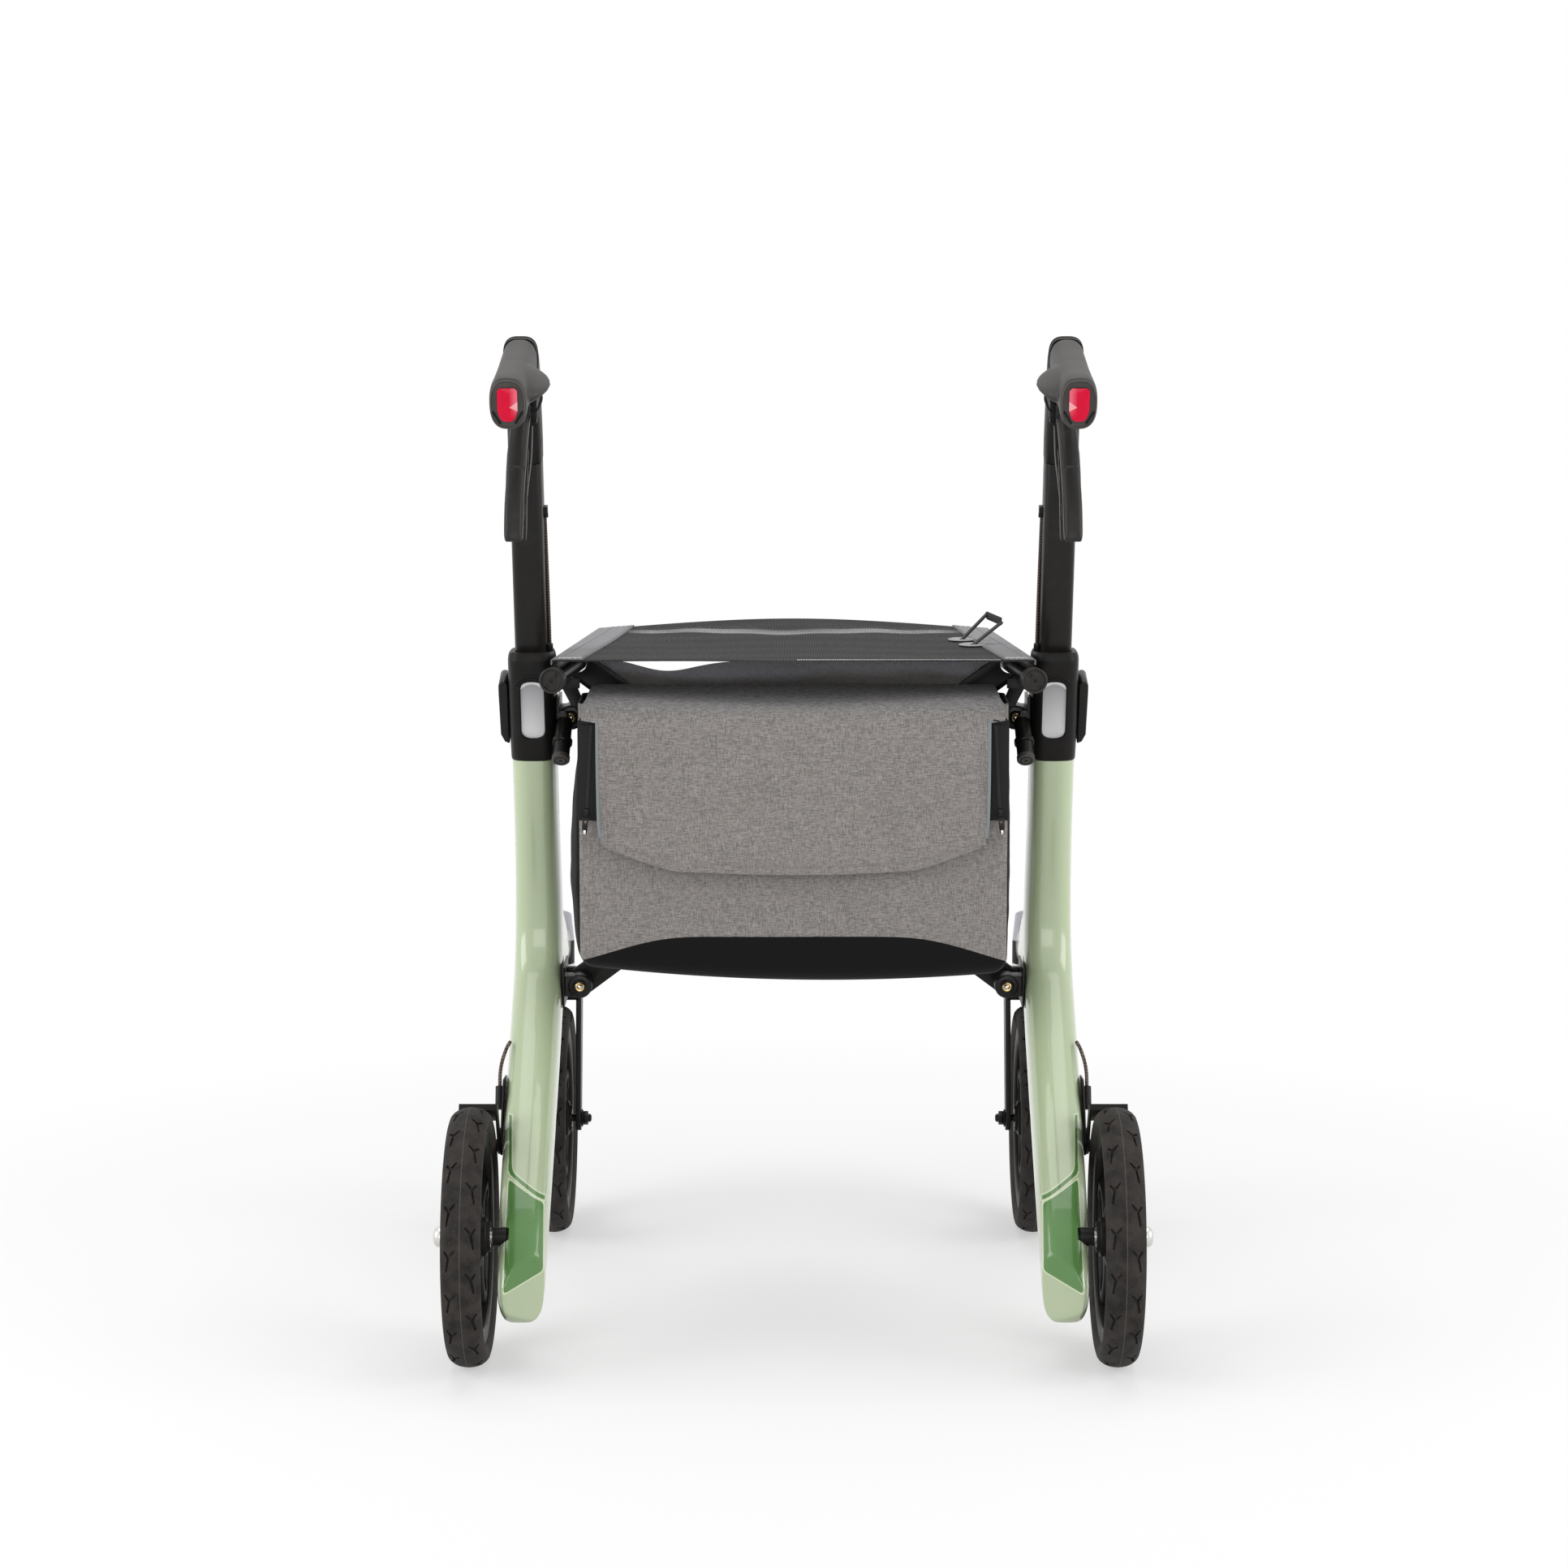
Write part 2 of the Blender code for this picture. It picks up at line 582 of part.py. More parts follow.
def tyre(name, centre):
    """A tyre with a round tread, flat in the middle where it stands."""
    outer = WHEEL_RADIUS / math.cos(math.pi / WHEEL_SIDES)
    half = TYRE_WIDTH / 2
    inner = WHEEL_RADIUS - TYRE_DEPTH
    profile = [
        (inner, half * 0.74), (outer - 0.0135, half), (outer - 0.0065, half * 0.88),
        (outer - 0.0018, half * 0.58), (outer, half * 0.24),
    ]
    profile += [(radius, -across) for radius, across in reversed(profile)]
    return turned(name, profile, centre, closed=True)


def rim(name, centre, shaft_radius):
    """A moulded rim: a channel for the tyre, five spokes and a bored hub."""
    ring_outer = WHEEL_RADIUS - TYRE_DEPTH - RUNNING_GAP
    ring_inner = ring_outer - 0.012
    half = 0.0132
    ring = [(ring_outer, half), (ring_outer, -half), (ring_inner, -half), (ring_inner, half)]
    wheel = turned(name, ring, centre, closed=True)
    barrel_low = Vector(centre) - Vector((RIM_HUB_HALF, 0.0, 0.0))
    barrel_high = Vector(centre) + Vector((RIM_HUB_HALF, 0.0, 0.0))
    barrel = rod("barrel", barrel_low, barrel_high, 0.0170, sides=20)
    for index in range(5):
        barrel = join(barrel, spoke(centre, index))
    wheel = join(wheel, barrel)
    far = Vector((0.01, 0.0, 0.0))
    return cut(wheel, rod("bore", barrel_low - far, barrel_high + far, shaft_radius + RUNNING_GAP))


def spoke(centre, index):
    """One tapered spoke of a rim."""
    stations = [(0.0, 0.0, 0.014, 0.0110, 0.0090), (0.0, 0.0, 0.050, 0.0090, 0.0088),
                (0.0, 0.0, 0.081, 0.0105, 0.0130)]
    made = loft("spoke", stations, 6.0, 4)
    turn = Matrix.Rotation(math.tau * index / 5, 4, "X")
    made.data.transform(Matrix.Translation(centre) @ turn)
    return made


def rear_axle():
    """The stub axle, seated in the leg, with its washer and domed head outside the wheel."""
    profile = [(0.0, 0.0320), (0.0060, 0.0318), (0.0092, 0.0290), (0.0100, 0.0262), (0.0100, 0.0212),
               (0.0110, 0.0212), (0.0110, 0.0190), (REAR_SHAFT_RADIUS, 0.0190),
               (REAR_SHAFT_RADIUS, -0.0190), (0.0080, -0.0190), (0.0080, -0.0310), (0.0, -0.0310)]
    place = (REAR_WHEEL_X, REAR_AXLE_Y, WHEEL_RADIUS)
    return turned("right_rear_axle", profile, place, sides=16)


def front_axle():
    """The through bolt of a front wheel, its nut on the inner side."""
    shaft = FRONT_SHAFT_RADIUS
    profile = [(0.0, 0.0320), (0.0065, 0.0320), (0.0065, 0.0265), (shaft, 0.0265), (shaft, -0.0265),
               (0.0068, -0.0265), (0.0068, -0.0320), (shaft, -0.0322), (shaft, -0.0362), (0.0, -0.0362)]
    place = (SIDE_X, FRONT_AXLE_Y, WHEEL_RADIUS)
    return turned("right_front_axle", profile, place, sides=16)


def fork():
    """The front wheel's fork: crown, bearing ring, stem and two legs."""
    inner = 0.0211
    outer = 0.0261
    crown = box("right_fork", (SIDE_X - outer, 0.2330, 0.2262), (SIDE_X + outer, 0.2790, 0.2450), 0.0030)
    ring = rod("ring", (SIDE_X, STEER_Y, 0.2440), (SIDE_X, STEER_Y, 0.2532), 0.0165, sides=24)
    stem = rod("stem", (SIDE_X, STEER_Y, 0.2520), (SIDE_X, STEER_Y, 0.2740), 0.0060)
    made = join(crown, ring, stem)
    outline = bar_outline((FRONT_AXLE_Y, WHEEL_RADIUS), 0.0125, (0.2540, 0.2280), 0.0165, 5)
    for low, high in ((-outer, -inner), (inner, outer)):
        made = join(made, plate("leg", outline, SIDE_X + low, SIDE_X + high, "YZ"))
    bore_low = (SIDE_X - 0.05, FRONT_AXLE_Y, WHEEL_RADIUS)
    bore_high = (SIDE_X + 0.05, FRONT_AXLE_Y, WHEEL_RADIUS)
    return cut(made, rod("bore", bore_low, bore_high, FRONT_SHAFT_RADIUS + RUNNING_GAP))


def steering_head():
    """The bearing housing at the end of the front arm, bored for the fork's stem."""
    foot = Vector((SIDE_X, STEER_Y, 0.2535))
    head = rod("right_steering_head", foot, foot + Vector((0, 0, 0.0275)), 0.0185, sides=24)
    bore = rod("bore", foot - Vector((0, 0, 0.01)), foot + Vector((0, 0, 0.0210)), 0.0063)
    return cut(head, bore)


def head_cap():
    """The pale cap on the steering head, its top sloping down to the front."""
    foot = Vector((SIDE_X, STEER_Y, 0.2813))
    cap = rod("right_head_cap", foot, foot + Vector((0, 0, 0.0330)), 0.0185, 0.0150, sides=24)
    slope = box("slope", (-0.04, -0.04, 0.0), (0.04, 0.04, 0.04))
    turn = Matrix.Rotation(math.radians(-22), 4, "X")
    slope.data.transform(Matrix.Translation((SIDE_X, STEER_Y, 0.3080)) @ turn)
    return cut(cap, slope)


def upper_bracket():
    """The bracket on the hub: boss and pin for the guide link, saddle for the seat rod and a peg."""
    plate_shape = box("right_upper_bracket", (0.2096, -0.0300, 0.5160), (0.2123, 0.0150, 0.5550))
    centre = Vector((UPPER_PIVOT.x, 0.0, UPPER_PIVOT.z))
    boss = rod("boss", centre + Vector((0, -0.0200, 0)), centre + Vector((0, 0.0155, 0)), 0.0110, sides=20)
    web = box("web", (0.2000, -0.0180, 0.5265), (0.2108, 0.0150, 0.5445))
    pin = rod("pin", centre + Vector((0, -0.0200, 0)), centre + Vector((0, 0.0240, 0)), PIVOT_PIN_RADIUS)
    pin_end = rod("pin_end", centre + Vector((0, 0.0228, 0)), centre + Vector((0, 0.0250, 0)), 0.0065)
    bolt = rod("bolt", centre + Vector((0, -0.0228, 0)), centre + Vector((0, -0.0190, 0)), 0.0058, sides=12)
    arm_outline = bar_outline((0.1940, 0.5480), 0.0055, (0.2015, 0.5640), 0.0062, 3)
    arm = plate("arm", arm_outline, -0.0192, -0.0125, "XZ")
    saddle = box("saddle", (0.1920, -0.0210, 0.5620), (0.2110, -0.0110, 0.5710))
    peg = rod("peg", (0.2068, -0.0600, 0.5020), (0.2052, -0.0300, 0.5330), 0.0075)
    peg_foot = box("peg_foot", (0.2030, -0.0340, 0.5180), (0.2110, -0.0180, 0.5420))
    return join(plate_shape, boss, web, pin, pin_end, bolt, arm, saddle, peg, peg_foot)


def lower_bracket():
    """The clevis on the frame that the scissor's foot turns in, with its bolt."""
    x = LOWER_PIVOT.x
    z = LOWER_PIVOT.z
    made = box("right_lower_bracket", (0.2087, -0.0060, z - 0.0190), (0.2106, 0.0560, z + 0.0190))
    for index, (back, front) in enumerate(((0.0020, 0.0220), (0.0465, 0.0535))):
        made = join(made, rod("boss", (x, back, z), (x, front, z), 0.0110, sides=20))
        made = join(made, box("web", (x, back, z - 0.0095), (0.2095, front, z + 0.0095)))
    bolt = rod("bolt", (x, -0.0008, z), (x, 0.0030, z), 0.0058, sides=12)
    pin = rod("pin", (x, 0.0010, z), (x, 0.0560, z), PIVOT_PIN_RADIUS)
    return join(made, bolt, pin)


def seat_rod():
    """A seat rod with a cap on each end and, on both sides of the struts, a rail for the seat's edge."""
    made = rod("right_seat_rod", rod_centre(ROD_REAR_Y), rod_centre(ROD_FRONT_Y), ROD_RADIUS)
    back = rod_centre(ROD_REAR_Y - 0.007)
    front = rod_centre(ROD_REAR_Y + 0.007)
    rear_cap = rod("rear_cap", back, front, REAR_CAP_RADIUS, sides=20)
    back = rod_centre(ROD_FRONT_Y - 0.003)
    front = rod_centre(ROD_FRONT_Y + 0.010)
    front_cap = rod("front_cap", back, front, FRONT_CAP_RADIUS, sides=20)
    made = join(made, rear_cap, front_cap)
    turn = Matrix.Rotation(math.atan(ROD_TOE_IN), 4, "Z")
    for back, front in RAIL_STRETCHES:
        half = (front - back) / 2
        foot = ROD_RADIUS - 0.0015
        head = SEAT_LEVEL - ROD_REAR.z - RUNNING_GAP
        rail = box("rail", (-RAIL_HALF, -half, foot), (RAIL_HALF, half, head))
        rail.data.transform(Matrix.Translation(rod_centre((back + front) / 2)) @ turn)
        made = join(made, rail)
    return made


def guide_link():
    """The link between the upper bracket and the strut, slotted at its inner end."""
    inward = Vector((-math.cos(LINK_SLOPE), 0.0, -math.sin(LINK_SLOPE)))
    start = (UPPER_PIVOT.x, UPPER_PIVOT.z)
    tip = UPPER_PIVOT + inward * LINK_REACH
    slot_start = UPPER_PIVOT + inward * (LINK_REACH - 0.020)
    link = plate("right_guide_link", bar_outline(start, 0.009, (tip.x, tip.z), 0.009), *LINK_LAYER, "XZ")
    slot_outline = bar_outline((slot_start.x, slot_start.z), 0.0036, (tip.x, tip.z), 0.0036)
    slot = plate("slot", slot_outline, 0.0, 0.04, "XZ")
    hole = rod("hole", (start[0], 0.0, start[1]), (start[0], 0.04, start[1]), PIVOT_PIN_RADIUS + RUNNING_GAP)
    return cut(link, slot, hole)


def strut(name, foot_side, layer):
    """A flat bar of the scissor from the lower pivot on one side to the seat rod on the other."""
    foot = (foot_side * LOWER_PIVOT.x, LOWER_PIVOT.z)
    head = (-foot_side * ROD_PIVOT.x, ROD_PIVOT.z)
    made = plate(name, bar_outline(foot, STRUT_HALF_WIDTH, head, STRUT_HALF_WIDTH, 8), *layer, "XZ")
    holes = (
        (foot, PIVOT_PIN_RADIUS + RUNNING_GAP),
        (head, ROD_RADIUS + 0.0017),
        ((0.0, cross_height()), 0.0053),
    )
    for (x, z), radius in holes:
        made = cut(made, rod("hole", (x, 0.0, z), (x, 0.06, z), radius))
    return made


def cross_height():
    """The height at which the two struts cross."""
    share = LOWER_PIVOT.x / (LOWER_PIVOT.x + ROD_PIVOT.x)
    return LOWER_PIVOT.z + share * (ROD_PIVOT.z - LOWER_PIVOT.z)


def cross_pivot():
    """The pin through both struts, with a head on each side."""
    z = cross_height()
    pin = rod("cross_pivot", (0, 0.0235, z), (0, 0.0455, z), 0.0050)
    rear_head = rod("rear_head", (0, 0.0228, z), (0, 0.0257, z), 0.0110)
    front_head = rod("front_head", (0, 0.0433, z), (0, 0.0462, z), 0.0110)
    return join(pin, rear_head, front_head)


def seat_fabric():
    """The mesh seat, stretched over the rods, slack in the middle and lifted at its front edge."""
    def place(u, v):
        y = SEAT_REAR_Y + (SEAT_FRONT_Y - SEAT_REAR_Y) * v
        half = rod_centre(y).x + 0.0015
        arch = math.sin(math.pi * u)
        height = SEAT_LEVEL + CLOTH / 2 + arch * (0.010 * v ** 3 - 0.003 * (1 - v) * v)
        return Vector((half * (2 * u - 1), y, height))
    return sheet("seat_fabric", 14, 5, place)


def bag_front_flap():
    """The loose flap between the rods, ahead of the scissor, with its main folds."""
    def place(u, v):
        half = 0.168 + 0.016 * max(0.0, 1 - v / 0.2)
        x = half * (2 * u - 1)
        dip = 0.0100 * math.exp(-((x + 0.118) / 0.035) ** 2)
        rise = 0.0025 * (x / 0.184) ** 2
        fold = 0.0050 * math.sin(math.tau * 2.5 * u + 0.6) * (0.3 + 0.7 * v)
        return Vector((x, FRONT_FLAP_Y + fold, 0.5783 - dip + rise - 0.105 * v))
    return sheet("bag_front_flap", 25, 4, place)


def bag():
    """The open-topped bag behind the scissor, narrower at its rounded bottom."""
    shape = bmesh.new()
    low = Vector((-BAG_HALF_WIDTH, BAG_REAR_Y, BAG_BOTTOM))
    high = Vector((BAG_HALF_WIDTH, BAG_FRONT_Y, BAG_TOP))
    place = Matrix.Translation((low + high) / 2) @ Matrix.Diagonal((*(high - low), 1.0))
    bmesh.ops.create_cube(shape, size=1.0, matrix=place)
    for vertex in shape.verts:
        if vertex.co.z < BAG_TOP - 0.01:
            vertex.co.x *= BAG_TAPER
    top = [face for face in shape.faces if face.normal.z > 0.9]
    bmesh.ops.delete(shape, geom=top, context="FACES_ONLY")
    closed = [edge for edge in shape.edges if len(edge.link_faces) == 2]
    bmesh.ops.bevel(shape, geom=closed, offset=0.018, segments=3, affect="EDGES", profile=0.5)
    made = object_from("bag", shape)
    wall = made.modifiers.new("wall", "SOLIDIFY")
    wall.thickness = 0.0022
    wall.offset = -1.0
    return settle(made)


def bag_flap():
    """The flap that covers the bag's top and hangs down over its rear face."""
    front_y = BAG_FRONT_Y - 0.006
    top_run = 0.084
    corner = 0.010
    drop = FLAP_TOP - FLAP_BOTTOM

    def section(distance):
        """Point of the flap's middle line, from the front edge over the top and down."""
        arc = corner * math.pi / 2
        if distance < top_run:
            return front_y - distance, FLAP_TOP
        if distance < top_run + arc:
            angle = (distance - top_run) / corner
            y = front_y - top_run - corner * math.sin(angle)
            return y, FLAP_TOP - corner * (1 - math.cos(angle))
        return front_y - top_run - corner, FLAP_TOP - corner - (distance - top_run - arc)

    def place(u, v):
        y, z = section(v * (top_run + corner * math.pi / 2 + drop - corner))
        half = 0.1860 if z > FLAP_STEP else 0.1725
        side = abs(2 * u - 1)
        if z < 0.46:
            z = z + (0.46 - z) / (0.46 - FLAP_BOTTOM) * 0.034 * max(0.0, side - 0.45) ** 1.6
        return Vector((half * (2 * u - 1), y, z))
    return sheet("bag_flap", 9, 11, place)


def pull_strap():
    """The webbing loop on the seat's right side that folds the walker when it is pulled."""
    route = [(0.1626, 0.0276, 0.5979), (0.1710, 0.0284, 0.6036), (0.1800, 0.0293, 0.6092),
             (0.1878, 0.0302, 0.6143), (0.1907, 0.0400, 0.6194), (0.1850, 0.0505, 0.6214),
             (0.1779, 0.0600, 0.6230), (0.1700, 0.0640, 0.6145), (0.1620, 0.0680, 0.6060),
             (0.1542, 0.0717, 0.5985)]
    return cord("pull_strap", smooth_route(route), 0.0015)


def mirrored(made, name):
    """The left-hand copy of a right-hand piece, with its own mesh."""
    mesh = made.data.copy()
    mesh.transform(Matrix.Scale(-1.0, 4, (1.0, 0.0, 0.0)))
    mesh.flip_normals()
    copy = bpy.data.objects.new(name, mesh)
    ROLLATOR.objects.link(copy)
    return copy


def finish(made, colour, roughness, metallic):
    """Shade a piece and give it its own material."""
    made.data.shade_smooth()
    made.data.set_sharp_from_angle(angle=math.radians(32))
    material = bpy.data.materials.new(made.name)
    material.use_nodes = True
    shader = material.node_tree.nodes["Principled BSDF"]
    shader.inputs["Base Color"].default_value = (*colour, 1.0)
    shader.inputs["Roughness"].default_value = roughness
    shader.inputs["Metallic"].default_value = metallic
    made.data.materials.clear()
    made.data.materials.append(material)


MINT = ((0.52, 0.62, 0.40), 0.18, 0.0)
BLACK_PLASTIC = ((0.020, 0.019, 0.018), 0.48, 0.0)
BLACK_METAL = ((0.018, 0.017, 0.017), 0.38, 0.6)
RUBBER = ((0.030, 0.027, 0.025), 0.80, 0.0)
SOFT_GRIP = ((0.030, 0.028, 0.027), 0.65, 0.0)
SILVER = ((0.62, 0.61, 0.59), 0.25, 1.0)
PALE_PLATE = ((0.60, 0.60, 0.61), 0.22, 0.3)
RED_LENS = ((0.65, 0.02, 0.04), 0.15, 0.0)
WHITE_PLASTIC = ((0.74, 0.73, 0.80), 0.30, 0.0)
CABLE_BRAID = ((0.060, 0.042, 0.036), 0.70, 0.0)
SEAT_MESH = ((0.040, 0.040, 0.042), 0.75, 0.0)
HEATHER = ((0.300, 0.285, 0.275), 0.90, 0.0)
WEBBING = ((0.020, 0.020, 0.020), 0.80, 0.0)


def holder(name, place, parent=None):
    """An empty on a moving body's joint, parented to the body that carries it."""
    empty = bpy.data.objects.new(name, None)
    ROLLATOR.objects.link(empty)
    empty["place"] = tuple(place)
    origin = Vector(parent["place"]) if parent else Vector((0.0, 0.0, 0.0))
    empty.location = Vector(place) - origin
    empty.parent = parent
    return empty


def attach(made, empty):
    """Parent a piece to its body, with its origin on the body's joint."""
    made.data.transform(Matrix.Translation(-Vector(empty["place"])))
    made.parent = empty


def side_bodies(side, sign, carrier):
    """The empties of one side's moving bodies."""
    def flipped(place):
        return Vector((sign * place[0], place[1], place[2]))
    lever_top = on_axis(CLAMP_MIDDLE) + Matrix.Rotation(LEAN, 3, "X") @ Vector((0.0257, 0.0, 0.0250))
    handle = holder(side + "_handle", flipped(on_axis(HUB_TOP)), carrier)
    caster = holder(side + "_caster", flipped((SIDE_X, STEER_Y, 0.2535)), carrier)
    rear = (REAR_WHEEL_X, REAR_AXLE_Y, WHEEL_RADIUS)
    front = (SIDE_X, FRONT_AXLE_Y, WHEEL_RADIUS)
    return {
        "side": carrier,
        "handle": handle,
        "lever": holder(side + "_lever", flipped(LEVER_PIVOT), handle),
        "clamp": holder(side + "_clamp", flipped(lever_top), carrier),
        "brake": holder(side + "_brake", flipped(SHOE_PIVOT), carrier),
        "rear_wheel": holder(side + "_rear_wheel", flipped(rear), carrier),
        "caster": caster,
        "front_wheel": holder(side + "_front_wheel", flipped(front), caster),
        "link": holder(side + "_link", flipped(UPPER_PIVOT), carrier),
    }


def side_pieces():
    """Every piece of the right side, with its look and the body it belongs to."""
    rear = (REAR_WHEEL_X, REAR_AXLE_Y, WHEEL_RADIUS)
    front = (SIDE_X, FRONT_AXLE_Y, WHEEL_RADIUS)
    reflector = window_plate("right_hub_reflector", 0.0105, 0.0274, -0.0288, -0.0275)
    return [
        (carbon_frame(), MINT, "side"),
        (hub(), BLACK_PLASTIC, "side"),
        (reflector, PALE_PLATE, "side"),
        (clamp_lever(), BLACK_PLASTIC, "clamp"),
        (height_tube(), BLACK_METAL, "handle"),
        (handle_body(), BLACK_PLASTIC, "handle"),
        (grip(), SOFT_GRIP, "handle"),
        (grip_reflector(), RED_LENS, "handle"),
        (upper_cable(), CABLE_BRAID, "handle"),
        (brake_lever(), BLACK_PLASTIC, "lever"),
        (lower_cable(), CABLE_BRAID, "side"),
        (brake_bracket(), BLACK_METAL, "side"),
        (brake_shoe(), BLACK_PLASTIC, "brake"),
        (rear_axle(), SILVER, "side"),
        (rim("right_rear_rim", rear, REAR_SHAFT_RADIUS), BLACK_PLASTIC, "rear_wheel"),
        (tyre("right_rear_tyre", rear), RUBBER, "rear_wheel"),
        (steering_head(), BLACK_PLASTIC, "side"),
        (head_cap(), WHITE_PLASTIC, "side"),
        (fork(), BLACK_METAL, "caster"),
        (front_axle(), BLACK_METAL, "caster"),
        (rim("right_front_rim", front, FRONT_SHAFT_RADIUS), BLACK_PLASTIC, "front_wheel"),
        (tyre("right_front_tyre", front), RUBBER, "front_wheel"),
        (upper_bracket(), BLACK_METAL, "side"),
        (lower_bracket(), BLACK_METAL, "side"),
        (seat_rod(), BLACK_METAL, "seat"),
        (guide_link(), BLACK_METAL, "link"),
    ]


def build():
    """Model every piece and hang it on its body."""
    left_side = holder("left_side", (0.0, 0.0, 0.0))
    rear_bar = holder("strut_rear_body", (-LOWER_PIVOT.x, 0.0, LOWER_PIVOT.z), left_side)
    front_bar = holder("strut_front_body", (0.0, 0.0, cross_height()), rear_bar)
    right_side = holder("right_side", LOWER_PIVOT, front_bar)
    bodies = {
        "left": side_bodies("left", -1, left_side),
        "right": side_bodies("right", 1, right_side),
    }
    bodies["left"]["seat"] = holder("left_seat", (-ROD_PIVOT.x, 0.0, ROD_PIVOT.z), front_bar)
    bodies["right"]["seat"] = holder("right_seat", ROD_PIVOT, rear_bar)
    for made, look, body in side_pieces():
        twin = mirrored(made, made.name.replace("right_", "left_"))
        for piece, side in ((made, "right"), (twin, "left")):
            finish(piece, *look)
            attach(piece, bodies[side][body])
    middle = [
        (strut("strut_rear", -1, REAR_STRUT_LAYER), BLACK_METAL, rear_bar),
        (strut("strut_front", 1, FRONT_STRUT_LAYER), BLACK_METAL, front_bar),
        (cross_pivot(), BLACK_METAL, rear_bar),
        (seat_fabric(), SEAT_MESH, bodies["left"]["seat"]),
        (bag_front_flap(), HEATHER, bodies["left"]["seat"]),
        (pull_strap(), WEBBING, bodies["right"]["seat"]),
        (bag(), HEATHER, left_side),
        (bag_flap(), HEATHER, left_side),
    ]
    for piece, look, body in middle:
        finish(piece, *look)
        attach(piece, body)


build()
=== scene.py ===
import math

import bmesh
import bpy
from mathutils import Matrix, Vector, noise


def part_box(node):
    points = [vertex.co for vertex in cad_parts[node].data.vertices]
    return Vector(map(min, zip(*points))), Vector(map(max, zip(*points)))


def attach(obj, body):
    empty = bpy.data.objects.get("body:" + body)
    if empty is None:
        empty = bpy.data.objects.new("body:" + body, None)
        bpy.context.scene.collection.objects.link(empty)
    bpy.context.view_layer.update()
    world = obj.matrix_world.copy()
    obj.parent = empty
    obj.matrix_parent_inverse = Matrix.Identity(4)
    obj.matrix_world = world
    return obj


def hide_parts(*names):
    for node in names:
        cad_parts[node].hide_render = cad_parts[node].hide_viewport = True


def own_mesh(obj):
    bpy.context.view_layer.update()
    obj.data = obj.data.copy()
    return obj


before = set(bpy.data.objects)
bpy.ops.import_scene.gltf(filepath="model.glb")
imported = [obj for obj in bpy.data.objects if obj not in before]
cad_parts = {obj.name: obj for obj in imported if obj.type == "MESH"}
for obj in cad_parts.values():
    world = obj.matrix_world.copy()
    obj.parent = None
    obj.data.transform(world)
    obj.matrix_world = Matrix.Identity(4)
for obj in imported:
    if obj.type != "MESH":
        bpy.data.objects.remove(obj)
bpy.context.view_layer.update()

# A folding four-wheeled walker. Metres; +X is the user's right, +Y forward, +Z up.
# Pieces that come in pairs are modelled on the right, and the left ones are their mirror images.
bpy.ops.object.select_all(action="DESELECT")

# Places shared with the frame
LEAN = math.radians(16.3)
SIDE_X = 0.2336
REAR_WHEEL_X = 0.2774
AXIS_FOOT = Vector((SIDE_X, -0.0350, 0.6200))
AXIS_UP = Vector((0.0, -math.sin(LEAN), math.cos(LEAN)))
HUB_FOOT = 0.4975
HUB_TOP = 0.5975
CLAMP_MIDDLE = 0.5455
TUBE_HALF_WIDTH = 0.0145
TUBE_HALF_DEPTH = 0.018
SLEEVE_SEAM = 0.771
CLIP_LEVEL = 0.7250
GRIP_SLOPE = math.radians(14)
GRIP_START = Vector((SIDE_X, -0.1350, 0.8570))
GRIP_BACK = Vector((0.0, -math.cos(GRIP_SLOPE), -math.sin(GRIP_SLOPE)))
GRIP_LENGTH = 0.134
GRIP_SPLAY = 0.0015
REFLECTOR_LEVEL = 0.8222
NECK_RADIUS = 0.0275
LEVER_PIVOT = Vector((SIDE_X, -0.1235, 0.8120))
WHEEL_RADIUS = 0.111
REAR_AXLE_Y = -0.225
TYRE_HALF = 0.0169
SIPES = 18
SPOKES = 5
STEER_Y = 0.262
ROD_REAR = Vector((0.2095, -0.1000, 0.5790))
ROD_TOE_IN = 0.095
ROD_RADIUS = 0.0075
SEAT_REAR_Y = -0.096
SEAT_FRONT_Y = 0.181
SEAT_LEVEL = 0.5940
BAG_HALF_WIDTH = 0.1903
BAG_REAR_Y = -0.0862
BAG_FRONT_Y = 0.004
BAG_TOP = 0.556
BAG_BOTTOM = 0.300
BAG_HALF_DEPTH = (BAG_FRONT_Y - BAG_REAR_Y) / 2
BAG_CORNER = 0.018
FLAP_TOP = 0.5630
FLAP_STEP = 0.5420
FLAP_REAR_Y = -0.0960
FLAP_WIDE_HALF = 0.1862
FLAP_NARROW_HALF = 0.1712
FLAP_STRAIGHT_HALF = 0.104
FLAP_TOP_RUN = 0.084
FLAP_CORNER = 0.010

# Smaller measures used more than once
WINDOW_INBOARD = 0.0011
CABLE_RADIUS = 0.00165
SEAT_OVERHANG = 0.0015
SEAT_LENGTH = 0.277
ZIP_Y = -0.0936

# Light
SKY_LEVEL = 0.45
SOFTBOXES = (
    ("left_softbox", (-2.3, -0.9, 1.3), 1.7, 31.0),
    ("right_softbox", (2.3, -0.9, 1.3), 1.7, 29.0),
    ("rear_softbox", (0.0, -4.3, 1.35), 2.0, 26.0),
    ("top_softbox", (0.0, 0.4, 3.0), 2.4, 27.0),
)


def wheel_centre(side_and_end):
    """The centre of a wheel, from the box of its tyre."""
    low, high = (Vector(corner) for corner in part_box(side_and_end + "_tyre"))
    return (low + high) / 2


def on_axis(level):
    """The point of the leaning line at a height."""
    return AXIS_FOOT + AXIS_UP * ((level - AXIS_FOOT.z) / math.cos(LEAN))


def rod_centre(y):
    """The centre of the right seat rod at a place along Y."""
    return Vector((ROD_REAR.x - ROD_TOE_IN * (y - ROD_REAR.y), y, ROD_REAR.z))


def limited(value):
    """A number kept between 0 and 1."""
    return min(1.0, max(0.0, value))


def signed_power(value, power):
    """A number raised to a power, with its sign kept."""
    return math.copysign(abs(value) ** power, value)


